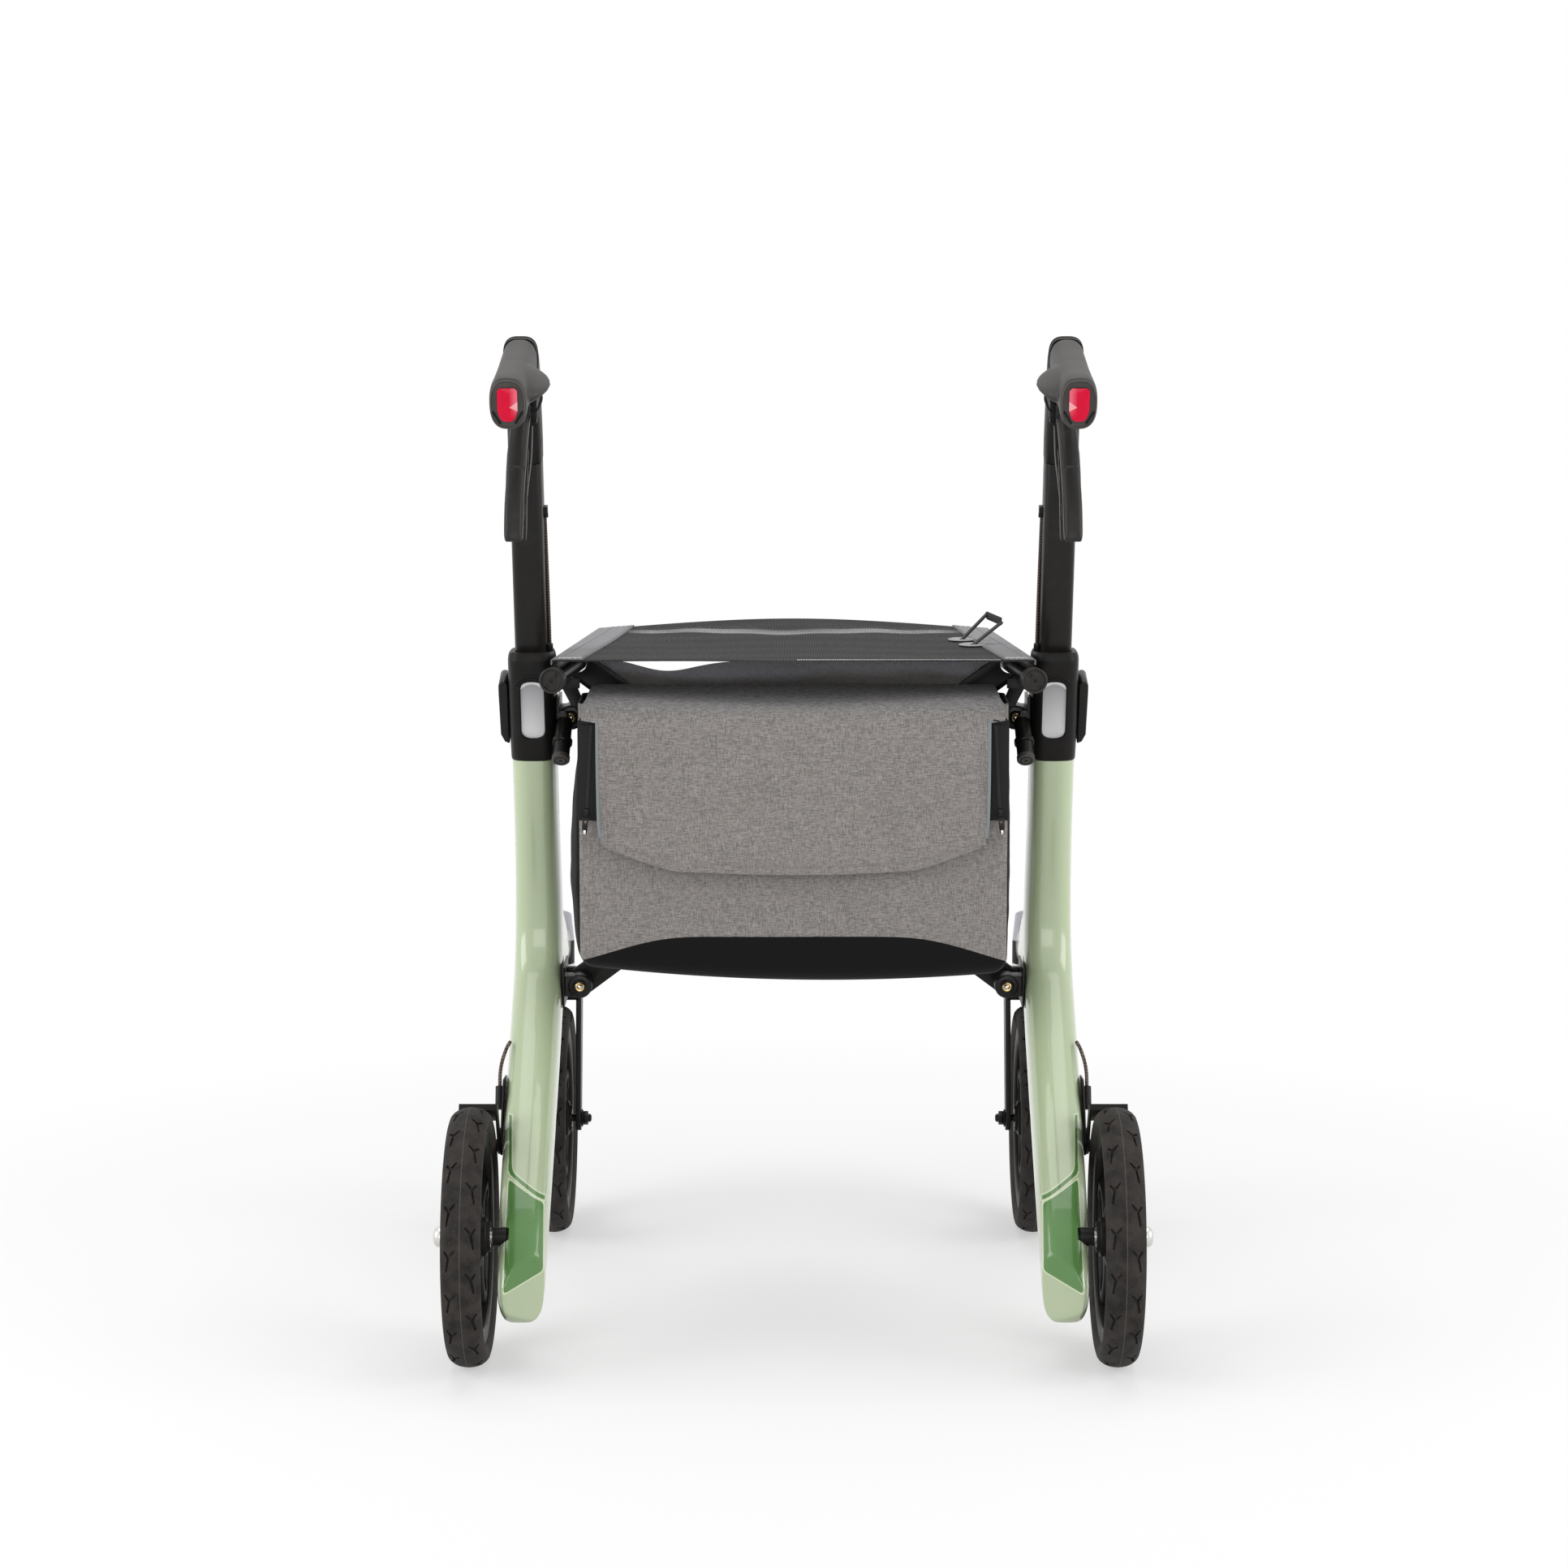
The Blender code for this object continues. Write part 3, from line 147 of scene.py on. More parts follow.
def waver(x, y, z):
    """Even noise at a point."""
    return noise.noise(Vector((x, y, z)))


def blend_in(low, high, value):
    """A smooth step from 0 at low to 1 at high."""
    share = limited((value - low) / (high - low))
    return share * share * (3 - 2 * share)


def smooth(points, steps):
    """A smooth curve through points that hold any number of values."""
    points = [Vector(point) for point in points]
    padded = [points[0] * 2 - points[1]] + points + [points[-1] * 2 - points[-2]]
    route = []
    for index in range(1, len(padded) - 2):
        before, start, end, after = padded[index - 1:index + 3]
        for step in range(steps):
            t = step / steps
            bend = (before * 2 - start * 5 + end * 4 - after) * t ** 2
            twist = (start * 3 - before - end * 3 + after) * t ** 3
            route.append((start * 2 + (end - before) * t + bend + twist) / 2)
    route.append(points[-1])
    return route


def open_mesh():
    """Enter edit mode with everything selected."""
    bpy.ops.object.mode_set(mode="EDIT")
    bpy.ops.mesh.select_all(action="SELECT")


def beside(route, index):
    """The points before and after one of a route, or itself where there is none."""
    return route[max(index - 1, 0)], route[min(index + 1, len(route) - 1)]


def close_mesh():
    """Leave edit mode."""
    bpy.ops.object.mode_set(mode="OBJECT")


def face_outwards():
    """Turn the faces of the mesh that is open outwards, and leave edit mode."""
    bpy.ops.mesh.select_all(action="SELECT")
    bpy.ops.mesh.normals_make_consistent(inside=False)
    close_mesh()


def point_loop(points, fill_type="NOTHING"):
    """A loop through points, left open in edit mode."""
    bpy.ops.mesh.primitive_circle_add(vertices=len(points), fill_type=fill_type)
    piece = bpy.context.object
    for vertex, place in zip(piece.data.vertices, points):
        vertex.co = place
    open_mesh()
    return piece


def select(pieces):
    """Select these pieces and no others, the first one active."""
    bpy.ops.object.select_all(action="DESELECT")
    for piece in pieces:
        piece.select_set(True)
    bpy.context.view_layer.objects.active = pieces[0]


def apply(piece, kind, **settings):
    """Add a modifier and apply it."""
    change = piece.modifiers.new(kind.lower(), kind)
    for name, value in settings.items():
        setattr(change, name, value)
    bpy.context.view_layer.objects.active = piece
    bpy.ops.object.modifier_apply(modifier=change.name)
    return piece


def carve(piece, tool, operation="DIFFERENCE"):
    """Cut a tool out of a piece, or join it on, and drop the tool."""
    apply(piece, "BOOLEAN", object=tool, operation=operation, solver="EXACT")
    bpy.data.objects.remove(tool, do_unlink=True)
    return piece


def named(piece, name):
    """Give a piece a name."""
    piece.name = name
    return piece


def linked(name, data):
    """A new object of the scene that holds a mesh, a lamp or a camera."""
    made = bpy.data.objects.new(name, data)
    bpy.context.scene.collection.objects.link(made)
    return made


def melt(piece, size, rounds):
    """Rebuild a piece from small cubes and smooth it, so that its parts flow into each other."""
    apply(piece, "REMESH", mode="VOXEL", voxel_size=size)
    return apply(piece, "SMOOTH", factor=0.5, iterations=rounds)


def merge(name, pieces):
    """Make several objects one, each still a body of its own."""
    select(pieces)
    if len(pieces) > 1:
        bpy.ops.object.join()
    return named(bpy.context.view_layer.objects.active, name)


def moved(piece, change):
    """Move a piece's mesh by a matrix."""
    piece.data.transform(change)
    return piece


def settle(piece):
    """Put an object's place into its mesh."""
    moved(piece, piece.matrix_world)
    piece.matrix_world = Matrix.Identity(4)
    return piece


def rounded_ring(centre, half_width, half_depth, heading, squareness, sides):
    """Points of a rounded section across a heading in a YZ plane; its width lies along X."""
    heading = heading.normalized()
    depth_way = Vector((0.0, heading.z, -heading.y))
    ring = []
    for side in range(sides):
        angle = math.tau * (side + 0.5) / sides
        across = signed_power(math.cos(angle), 2 / squareness)
        deep = signed_power(math.sin(angle), 2 / squareness)
        ring.append(centre + Vector((half_width * across, 0.0, 0.0)) + depth_way * (half_depth * deep))
    return ring


def swept(name, rings, closed=False, head=True):
    """A skin through rings of points, closed to a loop or with filled ends, the last one only with a head."""
    sides = len(rings[0])
    piece = point_loop(rings[0])
    for _ in rings[1:]:
        bpy.ops.mesh.extrude_region()
    if head and not closed:
        bpy.ops.mesh.edge_face_add()
    close_mesh()
    for vertex, place in zip(piece.data.vertices, (point for ring in rings for point in ring)):
        vertex.co = place
    shape = bmesh.new()
    shape.from_mesh(piece.data)
    shape.verts.ensure_lookup_table()
    if closed:
        last = len(rings) * sides - sides
        for side in range(sides):
            after = (side + 1) % sides
            corners = (side, after, last + after, last + side)
            shape.faces.new([shape.verts[corner] for corner in corners])
    else:
        shape.faces.new([shape.verts[side] for side in range(sides)])
    bmesh.ops.recalc_face_normals(shape, faces=shape.faces)
    shape.to_mesh(piece.data)
    shape.free()
    return settle(named(piece, name))


def lofted(name, stations, squareness, sides, steps):
    """A solid through sections (x, y, z, half width, half depth) that are smoothed along their path."""
    fine = smooth(stations, steps)
    rings = []
    for index, station in enumerate(fine):
        before, after = beside(fine, index)
        heading = Vector((0.0, after[1] - before[1], after[2] - before[2]))
        centre = Vector(station[:3])
        rings.append(rounded_ring(centre, station[3], station[4], heading, squareness, sides))
    return swept(name, rings)


def bar(name, start, end, radius, sides=32):
    """A round bar between two points."""
    start = Vector(start)
    end = Vector(end)
    turn = (end - start).to_track_quat("Z", "Y").to_euler()
    bpy.ops.mesh.primitive_cone_add(
        vertices=sides,
        radius1=radius,
        radius2=radius,
        depth=(end - start).length,
        location=(start + end) / 2,
        rotation=turn,
    )
    return settle(named(bpy.context.object, name))


def block(name, low, high):
    """A box between two corners."""
    low = Vector(low)
    high = Vector(high)
    bpy.ops.mesh.primitive_cube_add(size=1.0, location=(low + high) / 2, scale=high - low)
    return settle(named(bpy.context.object, name))


def arc(centre, radius, start, end, steps):
    """Points of an arc, both ends included."""
    angles = [start + (end - start) * step / steps for step in range(steps + 1)]
    return [(centre[0] + radius * math.cos(angle), centre[1] + radius * math.sin(angle)) for angle in angles]


def bar_outline(start, start_radius, end, end_radius, steps):
    """The outline of a flat bar with round ends of two sizes."""
    across = end[0] - start[0]
    up = end[1] - start[1]
    heading = math.atan2(up, across)
    spread = math.acos((start_radius - end_radius) / math.hypot(across, up))
    near = arc(start, start_radius, heading + spread, heading + math.tau - spread, steps)
    return near + arc(end, end_radius, heading - spread, heading + spread, steps)


def slab(name, outline, low, high, plane):
    """A flat outline given thickness: plane YZ is thick along X, plane XZ along Y, plane XY along Z."""
    place = {
        "YZ": lambda across, up, deep: (deep, across, up),
        "XZ": lambda across, up, deep: (across, deep, up),
        "XY": lambda across, up, deep: (across, up, deep),
    }[plane]
    piece = point_loop([place(across, up, low) for across, up in outline], "NGON")
    thick = Vector(place(0.0, 0.0, high - low))
    bpy.ops.mesh.extrude_region_move(TRANSFORM_OT_translate={"value": thick})
    face_outwards()
    return settle(named(piece, name))


def turned(name, profile, sides, centre=(0, 0, 0)):
    """A closed profile of (radius, distance along +X) pairs spun about an axle."""
    piece = point_loop([(along, 0.0, radius) for radius, along in profile])
    bpy.ops.mesh.spin(steps=sides, angle=math.tau, center=(0, 0, 0), axis=(1, 0, 0))
    bpy.ops.mesh.select_all(action="SELECT")
    bpy.ops.mesh.remove_doubles(threshold=1e-5)
    bpy.ops.mesh.delete_loose()
    face_outwards()
    return settle(moved(named(piece, name), Matrix.Translation(centre)))


def cloth(name, columns, rows, place, thickness):
    """A sheet of even thickness whose points come from place(u, v); its UV map holds u and v."""
    bpy.ops.mesh.primitive_grid_add(x_subdivisions=columns, y_subdivisions=rows, size=1.0)
    piece = bpy.context.object
    for vertex in piece.data.vertices:
        vertex.co = place(vertex.co.x + 0.5, vertex.co.y + 0.5)
    return apply(settle(named(piece, name)), "SOLIDIFY", thickness=thickness, offset=0.0)


def cord(name, route, radius, sides, closed=False):
    """A round cord along a route, its ends closed, or joined to each other."""
    rings = []
    side_way = Vector((1.0, 0.0, 0.0))
    for index, place in enumerate(route):
        before, after = beside(route, index)
        if closed:
            before, after = route[index - 1], route[(index + 1) % len(route)]
        heading = (after - before).normalized()
        if closed and index == 0:
            side_way = heading.orthogonal()
        side_way = (side_way - heading * side_way.dot(heading)).normalized()
        up_way = heading.cross(side_way)
        rings.append([
            place + side_way * (radius * math.cos(math.tau * side / sides))
            + up_way * (radius * math.sin(math.tau * side / sides))
            for side in range(sides)
        ])
    return swept(name, rings, closed)


def bevelled(piece, width, segments=2, angle=35):
    """Round the sharp edges of a piece."""
    return apply(
        piece, "BEVEL", width=width, segments=segments, limit_method="ANGLE",
        angle_limit=math.radians(angle), use_clamp_overlap=True,
    )


def smooth_shading(piece, angle):
    """Shade a piece smooth but for its sharp edges."""
    select([piece])
    bpy.ops.object.shade_smooth_by_angle(angle=math.radians(angle))


def repeated(name, pattern, places):
    """Copies of a small pattern piece at each of a list of matrices, as one mesh; the pattern is dropped."""
    shape = bmesh.new()
    for place in places:
        count = len(shape.verts)
        shape.from_mesh(pattern.data)
        shape.verts.ensure_lookup_table()
        bmesh.ops.transform(shape, matrix=place, verts=shape.verts[count:])
    bpy.data.objects.remove(pattern, do_unlink=True)
    mesh = bpy.data.meshes.new(name)
    shape.to_mesh(mesh)
    shape.free()
    return linked(name, mesh)


def stitches(name, route, length, pitch, radius=0.00035):
    """A row of short threads along a route."""
    bpy.ops.mesh.primitive_cylinder_add(vertices=5, radius=radius, depth=length)
    thread = bpy.context.object
    places = []
    travelled = 0.0
    for start, end in zip(route, route[1:]):
        step = end - start
        while travelled < step.length:
            turn = step.to_track_quat("Z", "Y").to_matrix().to_4x4()
            places.append(Matrix.Translation(start + step.normalized() * travelled) @ turn)
            travelled += pitch
        travelled -= step.length
    return repeated(name, thread, places)


def ribbon(name, route, widths, thickness):
    """A flat band through a route, its half width given as a vector at each point."""
    rings = []
    for index, (place, half) in enumerate(zip(route, widths)):
        before, after = beside(route, index)
        lift = (after - before).cross(half).normalized() * (thickness / 2)
        rings.append([place + half + lift, place - half + lift, place - half - lift, place + half - lift])
    return swept(name, rings)


def facing(piece, place, heading):
    """Turn a piece modelled along +X to a heading, and move its origin to a place."""
    turn = Vector(heading).normalized().to_track_quat("X", "Z").to_matrix().to_4x4()
    return moved(piece, Matrix.Translation(place) @ turn)


def refined(node, width, segments):
    """A copy of one of the frame's solids, its triangles merged and its sharp edges rounded."""
    piece = linked(node + "_fine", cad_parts[node].data.copy())
    shape = bmesh.new()
    shape.from_mesh(piece.data)
    bmesh.ops.remove_doubles(shape, verts=shape.verts, dist=2e-6)
    bmesh.ops.dissolve_limit(
        shape, angle_limit=math.radians(0.6), verts=shape.verts, edges=shape.edges,
    )
    shape.to_mesh(piece.data)
    shape.free()
    return bevelled(piece, width, segments, 40)


def from_frame(node, name, width, segments=2):
    """The refined copy of a right-hand solid of the frame, under its own name."""
    return named(refined("right_" + node, width, segments), name)


def both_ways(profile):
    """A profile of (radius, distance along) pairs with its mirror image after it."""
    return profile + [(radius, -along) for radius, along in reversed(profile)]


class Value:
    """A shader socket that takes part in sums as a number does."""

    def __init__(self, finish, socket):
        self.finish = finish
        self.socket = socket

    def math(self, operation, *others):
        return self.finish.node("ShaderNodeMath", {"operation": operation}, [self, *others])

    def __add__(self, other):
        return self.math("ADD", other)

    __radd__ = __add__

    def __mul__(self, other):
        return self.math("MULTIPLY", other)

    __rmul__ = __mul__

    def __sub__(self, other):
        return self.math("SUBTRACT", other)

    def __rsub__(self, other):
        return self * -1.0 + other

    def __truediv__(self, other):
        return self.math("DIVIDE", other)

    def __abs__(self):
        return self.math("ABSOLUTE")

    def sine(self):
        return self.math("SINE")

    def at_least(self, other):
        return self.math("MAXIMUM", other)

    def at_most(self, other):
        return self.math("MINIMUM", other)

    def share(self):
        """The value kept between 0 and 1."""
        return self.at_most(1.0).at_least(0.0)

    def below(self, limit, soft=1e-4):
        """1 where the value is under a limit and 0 above it, with a soft edge."""
        return ((limit - self) / soft + 0.5).share()

    def above(self, limit, soft=1e-4):
        """1 where the value is over a limit and 0 below it, with a soft edge."""
        return ((self - limit) / soft + 0.5).share()


class Network:
    """A node tree whose nodes are made by one method."""

    def __init__(self, tree):
        self.tree = tree

    def node(self, kind, settings=(), values=(), output=0):
        """A node of a kind, with its settings and then its inputs; the answer is one of its outputs."""
        made = self.tree.nodes.new(kind)
        for name, value in dict(settings).items():
            setattr(made, name, value)
        pairs = values.items() if isinstance(values, dict) else enumerate(values)
        for key, value in pairs:
            if isinstance(value, Value):
                self.tree.links.new(value.socket, made.inputs[key])
            else:
                made.inputs[key].default_value = value
        return Value(self, made.outputs[output])

    def seen(self):
        """1 for rays from the camera and for mirrored and refracted ones, 0 for all others."""
        kinds = ("Is Camera Ray", "Is Glossy Ray", "Is Transmission Ray")
        camera, glossy, through = (self.node("ShaderNodeLightPath", output=kind) for kind in kinds)
        return camera.at_least(glossy).at_least(through)


class Finish(Network):
    """A material, with its shader's values and the patterns that feed them."""

    def __init__(self, name, colour, roughness, metallic=0.0, specular=0.5, coat=0.0, sheen=0.0):
        self.material = bpy.data.materials.new(name)
        self.material.use_nodes = True
        super().__init__(self.material.node_tree)
        self.shader = self.tree.nodes["Principled BSDF"]
        self.set("Base Color", (*colour, 1.0))
        self.set("Roughness", roughness)
        self.set("Metallic", metallic)
        self.set("Specular IOR Level", specular)
        self.set("Coat Weight", coat)
        self.set("Coat Roughness", 0.06)
        self.set("Sheen Weight", sheen)

    def set(self, socket, value):
        """Give a socket of the shader a value or a link."""
        if isinstance(value, Value):
            self.tree.links.new(value.socket, self.shader.inputs[socket])
        else:
            self.shader.inputs[socket].default_value = value
        return self

    def place(self, output="Object", count=3):
        """The object coordinates x, y and z, or the first ones of another kind."""
        point = self.node("ShaderNodeTexCoord", output=output)
        return [self.node("ShaderNodeSeparateXYZ", (), [point], axis) for axis in range(count)]

    def flat(self):
        """The coordinates u and v of the piece's own UV map."""
        return self.place("UV", 2)

    def noise(self, scale, detail=2.0, stretch=(1.0, 1.0, 1.0)):
        """Noise over the piece, from 0 to 1, its grain drawn out along some axes."""
        point = self.node("ShaderNodeTexCoord", output="Object")
        point = self.node("ShaderNodeMapping", (), {"Vector": point, "Scale": stretch})
        return self.node("ShaderNodeTexNoise", (), {"Vector": point, "Scale": scale, "Detail": detail})

    def mix(self, mask, first, second, blend="MIX"):
        """A colour that goes from the first to the second as the mask goes from 0 to 1."""
        first, second = (c if isinstance(c, Value) else (*c, 1.0) for c in (first, second))
        settings = {"data_type": "RGBA", "blend_type": blend}
        return self.node("ShaderNodeMix", settings, {0: mask, 6: first, 7: second}, 2)

    def bump(self, height, depth, strength=1.0):
        """Raise the surface by a height from 0 to 1, as far as depth in metres."""
        values = {"Height": height, "Distance": depth, "Strength": strength}
        return self.set("Normal", self.node("ShaderNodeBump", (), values))


def mint_lacquer():
    """Pale green lacquer with a darker panel and stripe on the leg's rear face."""
    mint = (0.440, 0.525, 0.330)
    pale = (0.64, 0.72, 0.50)
    green = (0.070, 0.190, 0.040)
    panel_out = 0.2469
    finish = Finish("mint_lacquer", mint, 0.30, specular=0.4, coat=0.8)
    x, y, z = finish.place()
    out = abs(x)
    rear = (y - z * 1.149 + 0.317).below(-0.006, 0.002)
    top = z - 0.1529 - (out - panel_out) * 0.556
    bottom = 0.0699 - z + (0.2468 - out) * 0.472
    inner = 0.2144 + (z - 0.0852) * 0.028 - out
    panel = top.math("SMOOTH_MAX", bottom, 0.005)
    panel = panel.math("SMOOTH_MAX", out - panel_out, 0.005).math("SMOOTH_MAX", inner, 0.005)
    upright = abs(out - 0.2492 + (0.1949 - z) * 0.089)
    upright = upright.at_least(0.1600 - z).at_least(z - 0.1950)
    slant = abs(z - 0.1566 - (out - 0.2446) * 0.615) * 0.85
    slant = slant.at_least(out - 0.2450).at_least(0.2165 - out)
    stripe = upright.math("SMOOTH_MIN", slant, 0.006)
    painted = rear * panel.below(0.0, 0.0004).at_least(stripe.below(0.0013, 0.0004))
    lined = rear * panel.below(0.0012, 0.0005).at_least(stripe.below(0.0023, 0.0005))
    fleck = finish.noise(1100.0, 1.0)
    deep = finish.mix(fleck, green, (0.105, 0.255, 0.065))
    colour = finish.mix(lined, finish.mix(finish.noise(6.0), mint, (0.46, 0.54, 0.35)), pale)
    finish.set("Base Color", finish.mix(painted, colour, deep))
    finish.set("Roughness", painted * 0.12 + 0.26)
    return finish.bump(painted * 2.0 + finish.noise(160.0, 1.0) * 0.35, 0.00008, 0.5)


def satin_black(name, level, roughness, grain=1800.0, specular=0.14, metallic=0.0):
    """Black moulded plastic or coated metal with a fine grain and slightly rubbed areas."""
    colour = (level * 1.10, level, level * 0.94)
    finish = Finish(name, colour, roughness, metallic, specular)
    cloud = finish.noise(14.0, 3.0)
    rubbed = finish.noise(70.0, 5.0).above(0.62, 0.12)
    lightened = finish.mix(cloud, colour, tuple(value * 1.5 for value in colour))
    finish.set("Base Color", finish.mix(rubbed * 0.25, lightened, tuple(value * 2.6 for value in colour)))
    finish.set("Roughness", cloud * 0.12 + rubbed * 0.08 + (roughness - 0.08))
    return finish.bump(finish.noise(grain, 2.0), 0.00004, 0.5)


def tyre_rubber():
    """Dusty dark rubber, scuffed on the tread, with a paler moulding line round its middle."""
    finish = Finish("tyre_rubber", (0.024, 0.020, 0.018), 0.75, specular=0.2)
    dust = finish.noise(75.0, 6.0)
    speck = finish.noise(1300.0, 3.0)
    colour = finish.mix(dust.above(0.5, 0.30), (0.0130, 0.0112, 0.0102), (0.038, 0.033, 0.030))
    colour = finish.mix(speck.above(0.66, 0.10) * 0.6, colour, (0.105, 0.095, 0.088))
    x = finish.place()[0]
    line = abs(abs(x) - REAR_WHEEL_X).at_most(abs(abs(x) - SIDE_X)).below(0.0003, 0.0003)
    finish.set("Base Color", finish.mix(line * 0.7, colour, (0.110, 0.102, 0.096)))
    finish.set("Roughness", 0.60 + dust * 0.3)
    return finish.bump(speck * 0.6 + finish.noise(420.0, 4.0) + line, 0.00022, 0.7)


def grip_rubber():
    """Soft dark grey grip rubber."""
    finish = Finish("grip_rubber", (0.050, 0.046, 0.043), 0.58, specular=0.35)
    cloud = finish.noise(30.0, 3.0)
    finish.set("Base Color", finish.mix(cloud, (0.034, 0.0312, 0.0295), (0.052, 0.0478, 0.0450)))
    finish.set("Roughness", 0.46 + cloud * 0.15)
    return finish.bump(finish.noise(1700.0, 2.0), 0.00006, 0.6)


def red_prism():
    """Clear red plastic over a fine prism grid, its inner facets paler as a painted highlight, with a pale
    wedge on the ridge as a painted glint.
    """
    finish = Finish("red_prism", (0.64, 0.0005, 0.030), 0.16, specular=0.15, coat=0.04)
    x, _, z = finish.place()
    prisms = 4200.0
    cell = (x * prisms).sine() * (z * prisms).sine()
    deep = finish.mix(cell * 0.5 + 0.5, (0.54, 0.0003, 0.022), (0.76, 0.001, 0.045))
    inward = SIDE_X + GRIP_SPLAY - 0.0018 - abs(x)
    rise = z - REFLECTOR_LEVEL
    # Painted highlight: the inner facets are painted paler, as if they caught the light.
    pale = (inward / 0.0050).share() * ((rise + 0.0090) / 0.0110).share()
    # Painted glint: a pale wedge painted along the ridge.
    wedge = (inward * 0.62 - abs(rise - inward * 0.1)).above(0.0, 0.0003)
    colour = finish.mix(pale * 0.60, deep, (0.90, 0.22, 0.30))
    return finish.set("Base Color", finish.mix(wedge * 0.55, colour, (0.98, 0.62, 0.62)))


def pale_window():
    """Pale metallic plate: a bright crescent at its top as a painted highlight, then a grey that brightens
    downwards as a painted reflection.
    """
    finish = Finish("pale_window", (0.6, 0.6, 0.61), 0.28, 0.15)
    x, _, z = finish.place()
    across = abs(x) - (SIDE_X - WINDOW_INBOARD)
    # Painted highlight: the bright crescent at the plate's top.
    crescent = (z + across * across * 48.0).above(0.5690, 0.0012)
    # Painted reflection: the grey brightens downwards.
    grey = finish.mix(((0.566 - z) / 0.040).share(), (0.31, 0.31, 0.32), (0.66, 0.66, 0.67))
    finish.set("Base Color", finish.mix(crescent, grey, (0.76, 0.76, 0.77)))
    return finish.bump(finish.noise(700.0, 2.0, (1.0, 1.0, 0.05)), 0.00002, 0.3)


def woven(finish, light, dark, pitch=0.0006, contrast=2.6):
    """Crossing threads of uneven tone; the answer is the colour and the height."""
    x, _, z = finish.place()
    upright = finish.noise(2000.0, 2.0, (1.0, 1.0, 0.10))
    level = finish.noise(2000.0, 2.0, (0.10, 0.10, 1.0))
    turns = math.tau / pitch
    thread = ((x * turns).sine() + (z * turns).sine()) * 0.25
    tone = ((upright + level - 1.0) * contrast + thread * 0.6 + 0.5).share()
    return finish.mix(tone, dark, light), (upright + level) * 0.6 + thread


def heather_linen():
    """Grey heather cloth of uneven threads, with painted shade in soft darker patches, and a cooler, darker
    painted shade where it turns over the bag's top.
    """
    finish = Finish("heather_linen", (0.27, 0.255, 0.245), 0.9, specular=0.12, sheen=0.1)
    colour, height = woven(finish, (0.362, 0.338, 0.322), (0.165, 0.153, 0.146))
    z = finish.place()[2]
    # Painted shade: the cloth is tinted cooler and darker where it turns over the bag's top.
    turn = ((z - 0.5440) / 0.0120).share()
    painted_turn_shade = finish.mix(turn, (1.0, 1.0, 1.0), (0.82, 0.85, 0.91))
    # Painted shade: soft darker patches for the cloth's wrinkles.
    cloud = finish.mix(finish.noise(10.0, 3.0), (0.90, 0.89, 0.88), (1.0, 1.0, 1.0))
    colour = finish.mix(1.0, colour, cloud, "MULTIPLY")
    finish.set("Base Color", finish.mix(1.0, colour, painted_turn_shade, "MULTIPLY"))
    return finish.bump(height, 0.00024, 0.6)


def bag_cloth():
    """The bag's cloth: heather on the rear panel, black below its arc and on the other sides."""
    finish = Finish("bag_cloth", (0.27, 0.255, 0.245), 0.9, specular=0.12, sheen=0.08)
    x, y, z = finish.place()
    linen, height = woven(finish, (0.343, 0.320, 0.305), (0.156, 0.144, 0.137))
    black = finish.mix(finish.noise(500.0, 3.0), (0.0035, 0.0035, 0.0038), (0.0080, 0.0078, 0.0082))
    bend = (abs(x) - 0.117).math("SMOOTH_MAX", 0.0, 0.05) * 0.31
    panel = (z + bend).above(0.3478, 0.0006) * y.below(-0.0790, 0.0006) * abs(x).below(0.1893, 0.0005)
    finish.set("Base Color", finish.mix(panel, black, linen))
    return finish.bump(height * panel + finish.noise(300.0, 3.0) * 0.4, 0.00026, 0.6)


def seat_mesh():
    """Ribbed dark mesh with fine holes; light shows through them along a slack band near the front edge,
    where the colour is also painted lighter as painted light.
    """
    finish = Finish("seat_mesh", (0.030, 0.030, 0.032), 0.75, specular=0.12)
    u, v = finish.flat()
    rib = (u * (math.tau * 262)).sine() * 0.5 + 0.5
    knot = (v * (math.tau * 170)).sine() * 0.5 + 0.5
    across = u * 2.0 - 1.0
    wave = (u * 17.0).sine() * 0.012 + (u * 41.0 + 1.0).sine() * 0.008
    along = v + (1.0 - across * across) * 0.13 + wave
    band = along.above(0.875, 0.02) * along.below(0.985, 0.02) * abs(across).below(0.80, 0.2)
    # Lighter in wavy ripples across the mesh.
    ripple = ((v * 34.0 + (u * 9.0).sine() * 1.4).sine() * 0.5 + 0.5) * finish.noise(9.0, 2.0)
    dark = finish.mix(rib * 0.8 + knot * 0.2, (0.0070, 0.0070, 0.0074), (0.085, 0.083, 0.085))
    lightened = finish.mix(ripple, dark, (0.022, 0.022, 0.024))
    # Painted light: the band's colour is lightened for the light that shows through the holes.
    finish.set("Base Color", finish.mix(band * 0.5, lightened, (0.20, 0.20, 0.20)))
    hole = ((u * (math.tau * 131)).sine() * (v * (math.tau * 62)).sine()).above(0.05, 0.12)
    finish.set("Alpha", 1.0 - hole * band)
    finish.set("Roughness", 0.80 - rib * 0.15)
    return finish.bump(rib + knot * 0.4, 0.0004, 0.8)


def hem_webbing():
    """Grey webbing with a fine cross rib, darker towards the rear."""
    finish = Finish("hem_webbing", (0.25, 0.245, 0.26), 0.6, specular=0.3, sheen=0.15)
    u, v = finish.flat()
    rib = (u * (math.tau * 26)).sine() * (v * (math.tau * 190)).sine()
    tone = finish.mix(rib * 0.5 + 0.5, (0.150, 0.147, 0.155), (0.350, 0.345, 0.365))
    near = (0.45 - v).share() * 1.6
    tone = finish.mix(near, tone, (0.115, 0.111, 0.110))
    finish.set("Base Color", finish.mix(finish.noise(30.0, 2.0) * 0.4, tone, (0.22, 0.215, 0.23)))
    return finish.bump(rib, 0.0003, 0.6)


